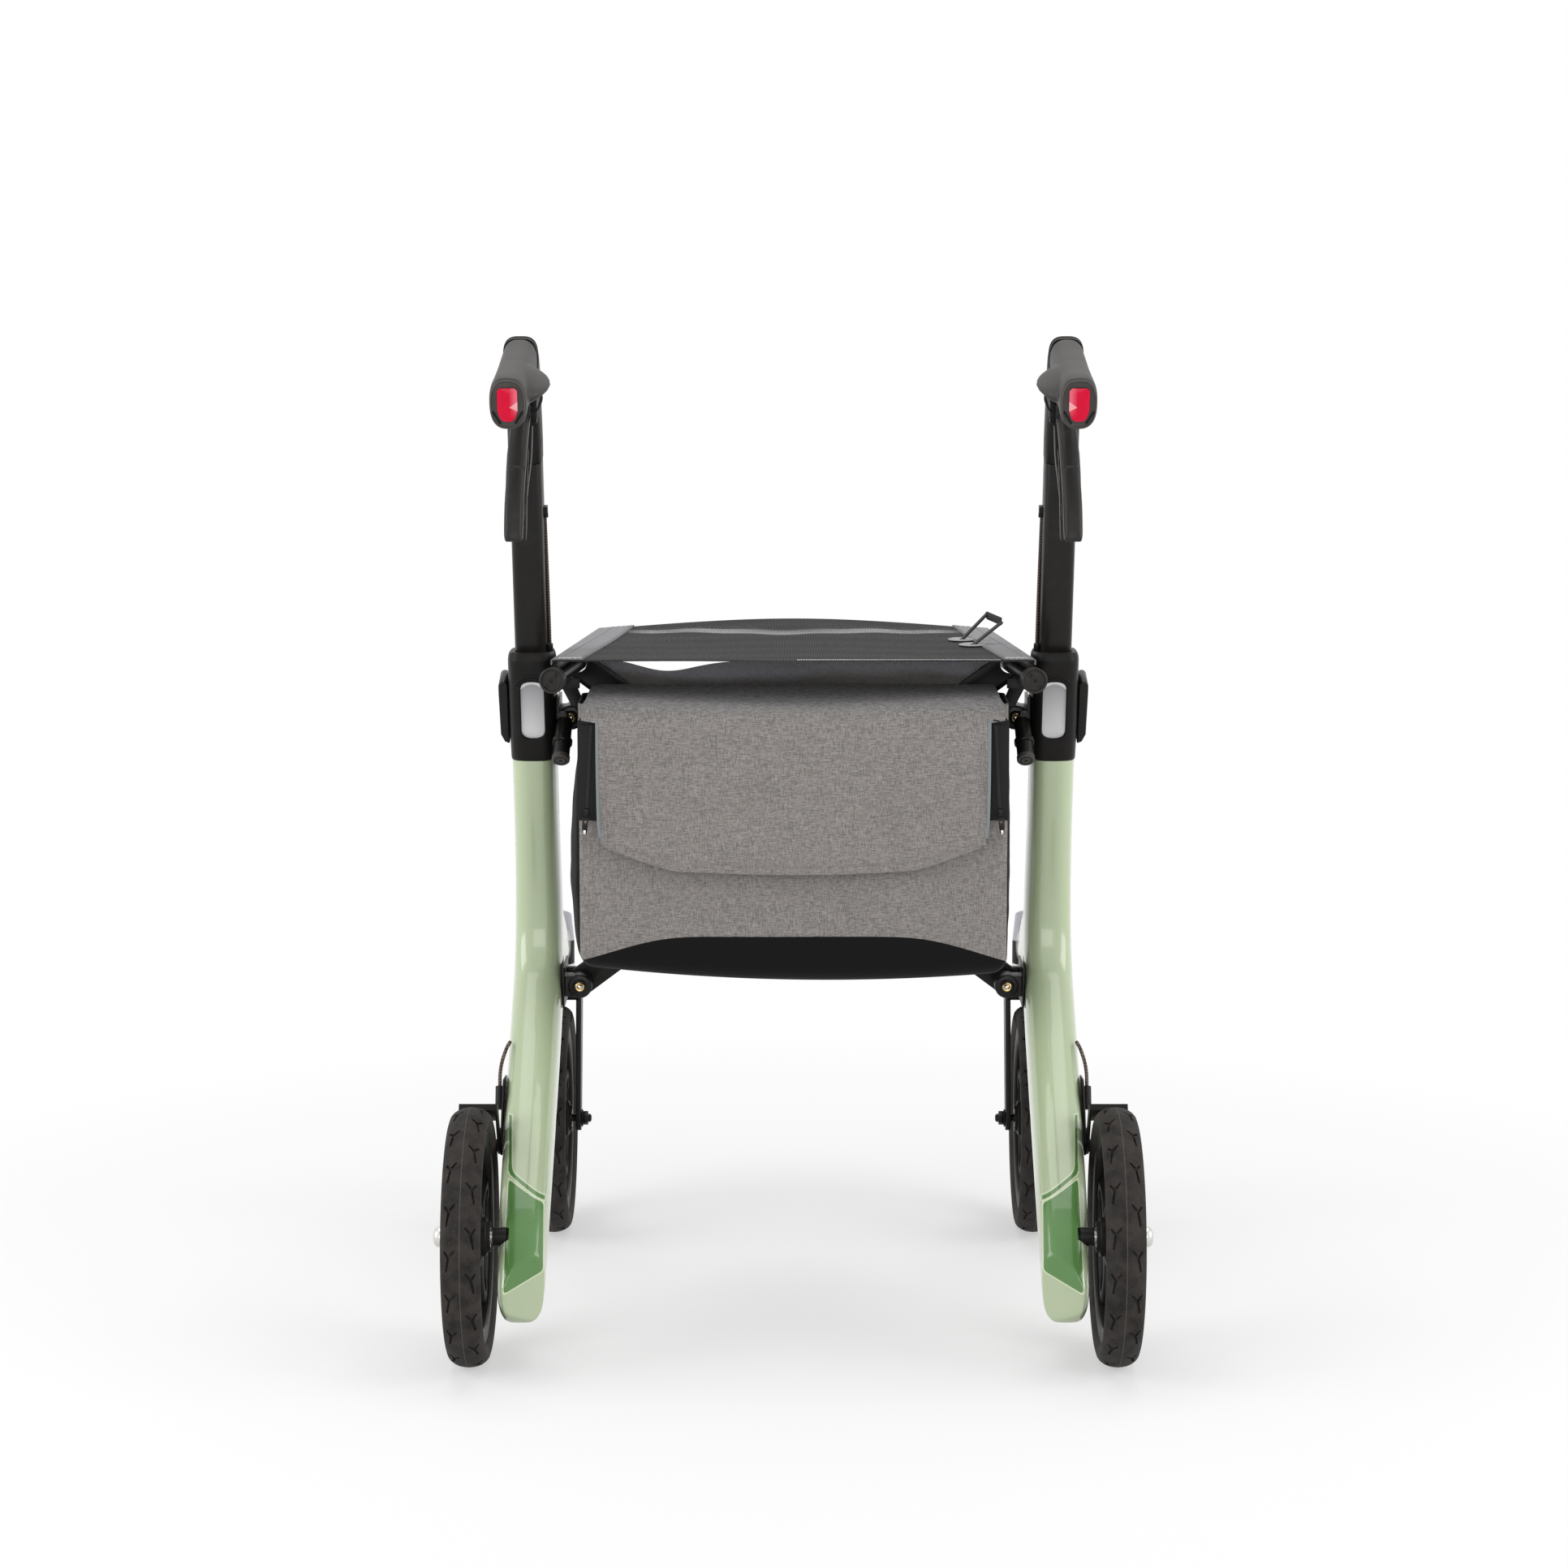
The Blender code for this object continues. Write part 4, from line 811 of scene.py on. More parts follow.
def lavender_cloth():
    """Thin grey cloth: a painted sheen makes it lighter and cooler above, it is darker and warmer below and
    in its folds, and painted black shade fills the inside of its lower edge.
    """
    finish = Finish("lavender_cloth", (0.25, 0.245, 0.26), 0.75, specular=0.2, sheen=0.3)
    tone, height = woven(finish, (1.0, 1.0, 1.0), (0.70, 0.70, 0.70), 0.0008, 2.0)
    x, _, z = finish.place()
    # Painted sheen above and the darker, warmer tone below meet along a line that waves like folds.
    fold = (x * 21.0 + z * 60.0 + (x * 47.0).sine() * 0.6).sine() * 0.0035
    high = (z + fold).above(0.5655, 0.008)
    colour = finish.mix(high, (0.360, 0.340, 0.325), (0.640, 0.632, 0.700))
    colour = finish.mix(1.0, colour, tone, "MULTIPLY")
    # Painted shade: black inside the lower edge, where the gap above the bag lies in shade.
    edge = z - ((x - 0.02) / 0.085).share() * 0.0045
    finish.set("Base Color", finish.mix(edge.below(0.5500, 0.001), colour, (0.0050, 0.0050, 0.0052)))
    return finish.bump(height, 0.0002, 0.5)


def cable_braid():
    """Brown and black threads crossing round a cable."""
    finish = Finish("cable_braid", (0.06, 0.04, 0.03), 0.55, specular=0.4)
    x, _, z = finish.place()
    around = (abs(x) * 900.0, z * 1250.0)
    cross = (around[0] + around[1]).sine() * (around[1] - around[0]).sine()
    finish.set("Base Color", finish.mix(cross.above(0.05, 0.5), (0.022, 0.015, 0.012), (0.155, 0.105, 0.085)))
    return finish.bump(cross, 0.0003, 0.8)


def plain_finish(name, colour, roughness, metallic=0.0, grain=1200.0, depth=0.00004, **more):
    """A finish with a slight cloud of tone and a fine grain."""
    finish = Finish(name, colour, roughness, metallic, **more)
    cloud = finish.noise(25.0, 3.0)
    lighter = tuple(min(1.0, value * 1.22) for value in colour)
    finish.set("Base Color", finish.mix(cloud, colour, lighter))
    finish.set("Roughness", cloud * 0.1 + (roughness - 0.05))
    return finish.bump(finish.noise(grain, 2.0), depth, 0.5)


# Each look: its material and the record's slot that it belongs to
LOOKS = {
    "mint": (mint_lacquer(), "carbon_shell"),
    "plastic": (satin_black("satin_plastic", 0.0070, 0.44), "black_plastic"),
    "gloss": (satin_black("smooth_plastic", 0.0060, 0.28, 900.0, 0.22), "black_plastic"),
    "lever": (satin_black("lever_plastic", 0.0140, 0.40, 1500.0, 0.22), "black_plastic"),
    # Painted highlight: a pale grey for the lit edges of the lever's flanges.
    "edge": (satin_black("painted_highlight_rim", 0.1100, 0.35, 1500.0, 0.4), "black_plastic"),
    "end_cap": (satin_black("grip_end_plastic", 0.0400, 0.45, 1500.0, 0.25), "black_plastic"),
    "tube": (satin_black("black_anodised", 0.0090, 0.36, 900.0, 0.20, 0.1), "black_tube"),
    "steel": (satin_black("black_coating", 0.0060, 0.38, 1400.0, 0.22, 0.1), "black_steel"),
    "tyre": (tyre_rubber(), "tyre_rubber"),
    "grip": (grip_rubber(), "grip_rubber"),
    "red": (red_prism(), "red_lens"),
    "window": (pale_window(), "pale_reflector"),
    "linen": (heather_linen(), "grey_cloth"),
    "bag": (bag_cloth(), "grey_cloth"),
    "lavender": (lavender_cloth(), "grey_cloth"),
    "piping": (plain_finish("piping_tape", (0.175, 0.200, 0.205), 0.7, depth=0.0001), "grey_cloth"),
    "thread": (plain_finish("grey_thread", (0.25, 0.235, 0.225), 0.8), "grey_cloth"),
    "pale_thread": (plain_finish("pale_thread", (0.50, 0.49, 0.50), 0.7), "grey_cloth"),
    "silver": (plain_finish("zinc_plate", (0.62, 0.61, 0.58), 0.25, 1.0), "plated_steel"),
    "brass": (plain_finish("brass_rim", (0.50, 0.36, 0.17), 0.25, 1.0), "plated_steel"),
    "white": (plain_finish("white_cap", (0.55, 0.54, 0.60), 0.35), "white_plastic"),
    "disc": (plain_finish("patch_plastic", (0.31, 0.315, 0.31), 0.5), "white_plastic"),
    "braid": (cable_braid(), "cable_braid"),
    "webbing": (plain_finish("black_webbing", (0.016, 0.0145, 0.0135), 0.7, grain=1500.0, depth=0.0003),
                "black_webbing"),
    "tape": (plain_finish("zip_tape", (0.0030, 0.0030, 0.0032), 0.9, grain=1500.0, depth=0.0003),
             "black_webbing"),
    "mesh": (seat_mesh(), "seat_mesh"),
    "hem": (hem_webbing(), "seat_mesh"),
}


def dressed(piece, look, body, nodes=(), angle=32, soften=True):
    """Give a piece its look, its body and the nodes that it stands for."""
    if soften:
        smooth_shading(piece, angle)
    finish, slot = LOOKS[look]
    piece.data.materials.clear()
    piece.data.materials.append(finish.material)
    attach(piece, body)
    if nodes:
        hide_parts(*nodes)
    return piece


def pair(piece):
    """A right-hand piece and its left-hand twin, which has its own mesh, both named after their sides."""
    mesh = piece.data.copy()
    mesh.transform(Matrix.Scale(-1.0, 4, (1.0, 0.0, 0.0)))
    mesh.flip_normals()
    twin = linked("left_" + piece.name, mesh)
    return named(piece, "right_" + piece.name), twin


def both_sides(piece, look, body, nodes=(), angle=32, soften=True):
    """Dress a right-hand piece and its left-hand twin."""
    for side, half in zip(("right_", "left_"), pair(piece)):
        dressed(half, look, side + body, [side + node for node in nodes], angle, soften)


def leaning_bar(name, half_width, half_depth, low, high, across=0.0):
    """A straight bar of rounded section along the leaning line between two heights."""
    centres = [on_axis(level) + Vector((across, 0.0, 0.0)) for level in (low, high)]
    return swept(name, [rounded_ring(c, half_width, half_depth, AXIS_UP, 4.0, 40) for c in centres])


def leaned(piece, level=CLAMP_MIDDLE):
    """Move a piece modelled upright at the origin onto the leaning line."""
    return moved(piece, Matrix.Translation(on_axis(level)) @ Matrix.Rotation(LEAN, 4, "X"))


def carbon_shell():
    """The moulded side frame, its leg and arm flowing into each other, its foot cut off at a slant."""
    leg = [
        (-0.0060, 0.520, 0.0202, 0.0285), (0.0018, 0.494, 0.0202, 0.0285), (0.0150, 0.448, 0.0202, 0.0280),
        (0.0275, 0.405, 0.0206, 0.0285), (0.0360, 0.365, 0.0212, 0.0300), (0.0370, 0.325, 0.0218, 0.0320),
        (0.0220, 0.288, 0.0224, 0.0320), (-0.0100, 0.259, 0.0227, 0.0300), (-0.0500, 0.228, 0.0227, 0.0285),
        (-0.1000, 0.189, 0.0224, 0.0280), (-0.1500, 0.150, 0.0220, 0.0280), (-0.1950, 0.113, 0.0215, 0.0275),
        (-0.2200, 0.088, 0.0208, 0.0260), (-0.2390, 0.068, 0.0200, 0.0240), (-0.2490, 0.055, 0.0180, 0.0195),
        (-0.2550, 0.047, 0.0130, 0.0120),
    ]
    arm = [
        (0.0250, 0.335, 0.0170, 0.0260), (0.0600, 0.332, 0.0186, 0.0275), (0.1100, 0.320, 0.0185, 0.0255),
        (0.1600, 0.304, 0.0175, 0.0230), (0.2050, 0.288, 0.0165, 0.0210), (0.2520, 0.278, 0.0160, 0.0200),
    ]
    piece = lofted("frame_shell", [(SIDE_X, *section) for section in leg], 3.2, 40, 4)
    carve(piece, lofted("arm", [(SIDE_X, *section) for section in arm], 3.0, 32, 3), "UNION")
    melt(piece, 0.0022, 7)
    facet = block("facet", (-0.1, -0.1, 0.0), (0.1, 0.1, 0.1))
    turn = Vector((-0.487, -0.868, 0.0997)).to_track_quat("Z", "Y").to_matrix().to_4x4()
    carve(piece, moved(facet, Matrix.Translation((0.2468, -0.2600, 0.0655)) @ turn))
    melt(piece, 0.0019, 2)
    carve(piece, block("top", (SIDE_X - 0.05, -0.08, HUB_FOOT - 0.0003), (SIDE_X + 0.05, 0.08, 0.56)))
    carve(piece, leaning_bar("bore", TUBE_HALF_WIDTH + 0.0009, TUBE_HALF_DEPTH + 0.0009, 0.336, 0.540))
    carve(piece, leaning_bar("channel", 0.0050, 0.0026, 0.405, 0.540, across=-0.0152))
    carve(piece, bar("head_seat", (SIDE_X, STEER_Y, 0.24), (SIDE_X, STEER_Y, 0.34), 0.0188, sides=64))
    inner, outer = ((SIDE_X + reach, REAR_AXLE_Y, WHEEL_RADIUS) for reach in (0.0105, 0.0300))
    return carve(piece, bar("axle_seat", inner, outer, 0.0082))


def pill_outline(half_width, half_height):
    """The outline of the window on the hub's rear face, its ends flatter than half circles."""
    crown = half_width * 0.85
    reach = half_height - crown
    outline = []
    for end, start in ((1, 0.0), (-1, math.pi)):
        for step in range(21):
            angle = start + math.pi * step / 20
            across = signed_power(math.cos(angle), 0.78) * half_width
            up = abs(math.sin(angle)) ** 0.78 * crown
            outline.append((across - WINDOW_INBOARD, 0.0080 + end * (reach + up)))
    return outline


def on_hub_face(across, up):
    """A point of the hub's curved rear face, before it is leaned."""
    return Vector((across, -0.0310 * (1 - (across / 0.0209) ** 4) ** 0.25, up))


def hub_shell():
    """The clamp housing: a rounded block cut level at both ends, with a rimmed window and two raised arcs."""
    levels = [
        (HUB_FOOT, 0.0198, 0.0290), (HUB_FOOT + 0.0018, 0.0205, 0.0302), (0.5060, 0.0207, 0.0312),
        (0.5230, 0.0209, 0.0323), (0.5830, 0.0209, 0.0323), (0.5920, 0.0207, 0.0308),
        (HUB_TOP - 0.0018, 0.0200, 0.0290), (HUB_TOP, 0.0190, 0.0278),
    ]
    piece = swept("hub_shell", [
        rounded_ring(on_axis(level), half_width, half_depth, Vector((0, 0, 1)), 4.0, 48)
        for level, half_width, half_depth in smooth(levels, 3)
    ])
    carve(piece, leaning_bar("bore", TUBE_HALF_WIDTH + 0.0004, TUBE_HALF_DEPTH + 0.0004, 0.47, 0.63))
    carve(piece, leaning_bar("channel", 0.0050, 0.0023, 0.47, 0.63, across=-0.0152))
    carve(piece, leaned(slab("recess", pill_outline(0.0109, 0.0278), -0.0400, -0.0277, "XZ")))
    bevelled(piece, 0.0007, 2, 50)
    rim = [on_hub_face(across, up) for across, up in pill_outline(0.0115, 0.0284)]
    trims = [leaned(cord("rim", rim, 0.0005, 8, closed=True))]
    for radius, thick in ((0.0140, 0.0007), (0.0166, 0.0008)):
        turns = arc((-WINDOW_INBOARD, 0.0249), radius, math.radians(25), math.radians(155), 28)
        trims.append(leaned(cord("arc", [on_hub_face(across, up) for across, up in turns], thick, 8)))
    trims.append(leaned(block("notch", (0.0102, -0.0307, 0.0020), (0.0112, -0.0302, 0.0050))))
    return merge("hub_shell", [piece, *trims])


def hub_screw():
    """The slotted screw that stands on the hub's top."""
    piece = bar("hub_screw", (-0.0168, -0.0090, 0.0440), (-0.0168, -0.0090, 0.0638), 0.0028, sides=24)
    carve(piece, block("slot", (-0.0172, -0.0140, 0.0628), (-0.0164, -0.0040, 0.0650)))
    return leaned(bevelled(piece, 0.0003, 2, 50))


def height_tube():
    """The hollow tube, with the clip that holds the cable's upper end."""
    piece = leaning_bar("tube", TUBE_HALF_WIDTH, TUBE_HALF_DEPTH, 0.417, SLEEVE_SEAM)
    carve(piece, leaning_bar("hollow", 0.0122, 0.0157, 0.40, 0.79))
    bevelled(piece, 0.0004, 2, 60)
    clip = bevelled(block("clip", (-0.0178, -0.0036, -0.0036), (-0.0135, 0.0036, 0.0036)), 0.0008, 3)
    collar = bar("collar", (-0.0158, 0.0, -0.0066), (-0.0158, 0.0, -0.0030), 0.0023)
    return merge("tube", [piece, leaned(clip, CLIP_LEVEL), leaned(collar, CLIP_LEVEL)])


def neck_centre():
    """The middle of the neck's bend."""
    return GRIP_START - GRIP_BACK.cross(Vector((1.0, 0.0, 0.0))) * NECK_RADIUS


def neck_ring(share, half_width, half_depth):
    """A section of the neck, from the sleeve at 0 to the grip at 1."""
    heading = math.pi / 2 + LEAN + (math.pi / 2 - LEAN + GRIP_SLOPE) * share
    centre = neck_centre()
    place = centre + Vector((0.0, NECK_RADIUS * math.sin(heading), -NECK_RADIUS * math.cos(heading)))
    along = Vector((0.0, math.cos(heading), math.sin(heading)))
    return rounded_ring(place, half_width, half_depth, along, 3.2, 40)


def handle_shell():
    """Sleeve and neck above the tube, with a seam under the grip and the ears of the brake lever."""
    sleeve = [(SLEEVE_SEAM + 0.0003, 0.0146, 0.0180), (SLEEVE_SEAM + 0.0012, 0.0150, 0.0184),
              (0.786, 0.0151, 0.0188), (0.800, 0.0150, 0.0190)]
    rings = [rounded_ring(on_axis(level), half_width, half_depth, AXIS_UP, 3.2, 40)
             for level, half_width, half_depth in sleeve]
    rings += [neck_ring(step / 14, 0.0145, 0.0195) for step in range(15)]
    piece = swept("handle_shell", rings)
    ear = bar_outline((-0.1090, 0.8290), 0.0110, (LEVER_PIVOT.y, LEVER_PIVOT.z), 0.0085, 16)
    lug = bevelled(slab("lug", ear, SIDE_X - 0.0132, SIDE_X + 0.0132, "YZ"), 0.0012, 3)
    carve(piece, lug, "UNION")
    step = Vector((0.0092, 0.0, 0.0))
    carve(piece, bar("slot", LEVER_PIVOT - step, LEVER_PIVOT + step, 0.0102, sides=40))
    pin = bar("pin", LEVER_PIVOT - step * 1.36, LEVER_PIVOT + step * 1.36, 0.0030, sides=24)
    ends = [bevelled(bar("pin_end", LEVER_PIVOT + step * low, LEVER_PIVOT + step * high, 0.0048), 0.0005)
            for low, high in ((1.38, 1.50), (-1.50, -1.38))]
    cap = cord("cap_line", neck_ring(0.88, 0.0146, 0.0196), 0.0006, 8, closed=True)
    hook = [(0.2215, -0.1180, 0.8290), (0.2170, -0.1290, 0.8290), (0.2158, -0.1370, 0.8240),
            (0.2185, -0.1400, 0.8170), (0.2212, -0.1340, 0.8140)]
    loop = cord("hook", smooth(hook, 6), 0.0012, 10)
    return merge("handle_shell", [piece, pin, *ends, cap, loop])


def grip_ring(distance, share=1.0):
    """A section of the grip at a distance from its front end."""
    rings = [(0.0004, 0.0145, 0.0195), (0.0250, 0.0149, 0.0188), (0.0650, 0.0150, 0.0192),
             (0.1000, 0.0154, 0.0212), (0.1220, 0.0158, 0.0228), (GRIP_LENGTH, 0.0152, 0.0220)]
    for low, high in zip(rings, rings[1:]):
        if distance <= high[0] or high is rings[-1]:
            part = limited((distance - low[0]) / (high[0] - low[0]))
            half_width, half_depth = (low[i] + (high[i] - low[i]) * part for i in (1, 2))
            break
    place = GRIP_START + GRIP_BACK * distance + Vector((GRIP_SPLAY * distance / GRIP_LENGTH, 0.0, 0.0))
    return rounded_ring(place, half_width * share, half_depth * share, GRIP_BACK, 2.6, 48)


def grip_shell():
    """The rubber grip with its palm rest drawn out of its inner side."""
    rings = [grip_ring(0.0004 + 0.1296 * step / 24) for step in range(25)]
    rings += [grip_ring(0.1315, 0.985), grip_ring(0.1328, 0.955)]
    piece = swept("grip_shell", rings)
    bpy.ops.mesh.primitive_uv_sphere_add(segments=40, ring_count=24, radius=1.0)
    wing = bpy.context.object
    for vertex in wing.data.vertices:
        across, along, up = vertex.co
        vertex.co = (across * 0.0190, along * 0.0330, up * 0.0135 * (1 - 0.72 * abs(across)))
    place = GRIP_START + GRIP_BACK * 0.082 + Vector((-0.0120, 0.0, 0.0022))
    moved(wing, Matrix.Translation(place) @ Matrix.Rotation(math.radians(17), 4, "X"))
    carve(piece, wing, "UNION")
    return melt(piece, 0.0013, 11)


def at_grip_end(piece):
    """Move a piece modelled upright at the origin onto the grip's rear end."""
    place = GRIP_START + GRIP_BACK * GRIP_LENGTH + Vector((GRIP_SPLAY, 0.0, 0.0))
    return moved(piece, Matrix.Translation(place) @ Matrix.Rotation(GRIP_SLOPE, 4, "X"))


def slanted_slot(name, side, low, high):
    """One of the slanted slots in the grip's end plate, as a slab between two depths."""
    outline = bar_outline((side * 0.0118, -0.0068), 0.0011, (side * 0.0064, -0.0158), 0.0011, 8)
    return at_grip_end(slab(name, outline, low, high, "XZ"))


def grip_end():
    """The plastic plate in the grip's end, with a raised lip and two slanted slots."""
    steps = ((0.1310, 0.93), (0.1338, 0.93), (0.1343, 0.915), (0.1343, 0.885), (0.1336, 0.865),
             (0.1335, 0.30))
    piece = swept("grip_end", [grip_ring(distance, share) for distance, share in steps])
    for side in (-1, 1):
        carve(piece, slanted_slot("slot", side, -0.0020, 0.0014))
    return piece


def reflector_gem():
    """The red reflector: facets that meet in a ridge inboard of its middle."""
    outline = [
        (-0.0060, 0.0140), (0.0060, 0.0140), (0.0083, 0.0118), (0.0083, -0.0050), (0.0062, -0.0118),
        (0.0030, -0.0142), (-0.0030, -0.0142), (-0.0062, -0.0118), (-0.0083, -0.0050), (-0.0083, 0.0118),
    ]
    points = [(x, -0.0003, z) for x, z in outline] + [(x, -0.0015, z) for x, z in outline]
    points += [(x * 0.82, -0.0021, z * 0.86) for x, z in outline]
    points += [(-0.0018, -0.0030, 0.0105), (-0.0018, -0.0035, -0.0019), (-0.0008, -0.0029, -0.0098)]
    points.append((0.0044, -0.0028, 0.0020))
    piece = point_loop(points)
    bpy.ops.mesh.convex_hull()
    close_mesh()
    return at_grip_end(bevelled(named(piece, "reflector_gem"), 0.00015, 1, 8))


def brake_blade():
    """The brake lever: a hooked upper part, a step, a flatter paddle, and flanges on its inner side."""
    blade = [
        (SIDE_X + 0.0006, -0.1280, 0.8075, 0.0080, 0.0070), (0.2352, -0.1480, 0.7880, 0.0083, 0.0072),
        (0.2358, -0.1620, 0.7690, 0.0083, 0.0068), (0.2360, -0.1640, 0.7660, 0.0081, 0.0066),
        (0.2361, -0.1652, 0.7640, 0.0074, 0.0058), (0.2362, -0.1672, 0.7610, 0.0077, 0.0060),
        (0.2370, -0.1800, 0.7370, 0.0079, 0.0055), (0.2372, -0.1880, 0.7150, 0.0078, 0.0050),
        (0.2371, -0.1899, 0.7090, 0.0074, 0.0043), (0.2370, -0.1903, 0.7062, 0.0062, 0.0032),
    ]
    piece = lofted("brake_blade", blade, 3.0, 32, 3)
    reach = Vector((0.0088, 0.0, 0.0))
    eye = bevelled(bar("eye", LEVER_PIVOT - reach, LEVER_PIVOT + reach, 0.0085, sides=40), 0.0008)
    carve(piece, eye, "UNION")
    carve(piece, bar("hole", LEVER_PIVOT - reach * 2, LEVER_PIVOT + reach * 2, 0.0033, sides=24))
    outline = [(-0.1530, 0.7780), (-0.1660, 0.7630), (-0.1800, 0.7370), (-0.1880, 0.7150), (-0.1895, 0.7070),
               (-0.1850, 0.7085), (-0.1790, 0.7190), (-0.1700, 0.7430), (-0.1560, 0.7700), (-0.1440, 0.7830)]
    flange = slab("flange", outline, SIDE_X - 0.0075, SIDE_X - 0.0064, "YZ")
    outer = slab("outer_flange", outline, SIDE_X + 0.0098, SIDE_X + 0.0109, "YZ")
    return merge("brake_blade", [piece, bevelled(flange, 0.0004), bevelled(outer, 0.0004)])


def lever_rims():
    """The two thin edges that show along the lever's inner side and meet at its foot, pale as a painted
    highlight.
    """
    near = [(0.2262, -0.1290, 0.8087), (0.2268, -0.1440, 0.7960), (0.2276, -0.1600, 0.7755),
            (0.2288, -0.1770, 0.7450), (0.2292, -0.1890, 0.7150), (0.2300, -0.1905, 0.7085)]
    far = [(0.2240, -0.1330, 0.8010), (0.2236, -0.1540, 0.7755), (0.2256, -0.1670, 0.7530),
           (0.2280, -0.1810, 0.7250), (0.2296, -0.1895, 0.7085)]
    return merge("lever_rims", [cord("rim", smooth(points, 6), 0.0006, 8) for points in (near, far)])


def upper_cable():
    """The braided cable from the clip on the tube down into the hub."""
    route = []
    for step in range(25):
        share = step / 24
        inboard = 0.0150 + 0.0009 * share + 0.0006 * math.sin(math.pi * share)
        level = CLIP_LEVEL - 0.0040 + (0.5200 - CLIP_LEVEL) * share
        route.append(on_axis(level) - Vector((inboard, 0.0, 0.0)))
    return cord("upper_cable", route, CABLE_RADIUS, 16)


def lower_cable():
    """The braided cable from the leg to the ferrule on the brake bracket."""
    route = [(0.2540, -0.0660, 0.2482), (0.2568, -0.0735, 0.2435), (0.2590, -0.0815, 0.2372),
             (0.2604, -0.0890, 0.2310), (0.2610, -0.0945, 0.2240), (0.2610, -0.0984, 0.2154)]
    return cord("lower_cable", smooth(route, 8), CABLE_RADIUS, 16)


def build_handle():
    """Everything from the hub up, and the cables of the brakes."""
    both_sides(hub_shell(), "plastic", "side", ["hub_housing"])
    both_sides(hub_screw(), "steel", "side")
    window = slab("hub_window", pill_outline(0.0105, 0.0274), -0.0290, -0.0275, "XZ")
    both_sides(bevelled(leaned(window), 0.0004), "window", "side", ["hub_reflector"])
    both_sides(from_frame("clamp_lever", "clamp_plate", 0.0013, 3), "gloss", "clamp", ["clamp_lever"])
    both_sides(height_tube(), "tube", "handle", ["height_tube"])
    both_sides(handle_shell(), "plastic", "handle", ["handle_body"])
    both_sides(grip_shell(), "grip", "handle", ["grip"], 50)
    both_sides(grip_end(), "end_cap", "handle")
    # Painted shade: black fills at the bottom of the grip end's slots.
    for side, name in ((-1, "painted_shade_slot_a"), (1, "painted_shade_slot_b")):
        both_sides(slanted_slot(name, side, 0.0008, 0.0014), "tape", "handle")
    both_sides(reflector_gem(), "red", "handle", ["grip_reflector"], soften=False)
    both_sides(brake_blade(), "lever", "lever", ["brake_lever"])
    both_sides(lever_rims(), "edge", "lever")
    both_sides(upper_cable(), "braid", "handle", ["brake_cable_upper"])
    both_sides(lower_cable(), "braid", "side", ["brake_cable_lower"])


def tyre(centre):
    """A round tyre with two staggered rows of forked sipes and a bead on each side."""
    depths = [(0.0205, 0.72), (0.0188, 0.83), (0.0165, 0.90), (0.0130, 0.975), (0.0100, 1.0), (0.0070, 0.945),
              (0.0045, 0.82), (0.0025, 0.65), (0.0010, 0.43), (0.0003, 0.22)]
    profile = [(WHEEL_RADIUS - depth, TYRE_HALF * share) for depth, share in depths]
    profile.append((WHEEL_RADIUS, 0.0004))
    piece = turned("tyre", both_ways(profile), 96)
    sipe = [(0.0021, -0.0112), (0.0037, -0.0108), (0.0016, 0.0006), (0.0052, 0.0054), (0.0041, 0.0066),
            (0.0002, 0.0032), (-0.0040, 0.0078), (-0.0052, 0.0067), (-0.0010, 0.0008)]
    cutters = []
    for index in range(SIPES):
        for side in (-1, 1):
            outline = [(side * across, up) for across, up in sipe]
            cutter = slab("cutter", outline, -0.0022, 0.0050, "XY")
            place = Matrix.Translation((side * 0.0090, 0.0, WHEEL_RADIUS - 0.0016))
            place = place @ Matrix.Rotation(side * math.radians(24), 4, "Y")
            turn = math.tau * (index + 0.25 * side) / SIPES
            cutters.append(moved(cutter, Matrix.Rotation(turn, 4, "X") @ place))
    carve(piece, merge("cutters", cutters))
    return moved(piece, Matrix.Translation(centre))


def rim(centre, bore):
    """The moulded rim: a rounded ring, five pocketed spokes and a stepped hub."""
    outer = WHEEL_RADIUS - 0.0208
    inner = outer - 0.012
    ring_side = [(outer, 0.0132), (inner + 0.0030, 0.0132), (inner + 0.0012, 0.0126), (inner, 0.0112),
                 (inner - 0.0002, 0.0092), (inner + 0.0010, 0.0070), (inner + 0.0014, 0.0020)]
    ring = turned("ring", both_ways(ring_side), 96)
    hub_side = [(bore, 0.0160), (0.0101, 0.0160), (0.0103, 0.0175), (0.0126, 0.0175), (0.0132, 0.0168),
                (0.0134, 0.0150), (0.0160, 0.0144), (0.0169, 0.0134), (0.0170, 0.0100)]
    hub = turned("hub", both_ways(hub_side), 64)
    stations = [(0.0150, 0.0110, 0.0092), (0.0300, 0.0098, 0.0084), (0.0500, 0.0090, 0.0086),
                (0.0680, 0.0094, 0.0104), (0.0805, 0.0104, 0.0140)]
    spoke = lofted("spoke", [(0.0, 0.0, *station) for station in stations], 5.0, 24, 4)
    for side in (-1, 1):
        outline = bar_outline((0.0, 0.0300), 0.0042, (0.0, 0.0660), 0.0060, 12)
        carve(spoke, slab("pocket", outline, side * 0.0072, side * 0.0150, "YZ"))
    bevelled(spoke, 0.0005, 2, 50)
    turns = [Matrix.Rotation(math.tau * index / SPOKES, 4, "X") for index in range(SPOKES)]
    piece = merge("rim", [ring, hub, repeated("spokes", spoke, turns)])
    return moved(piece, Matrix.Translation(centre))


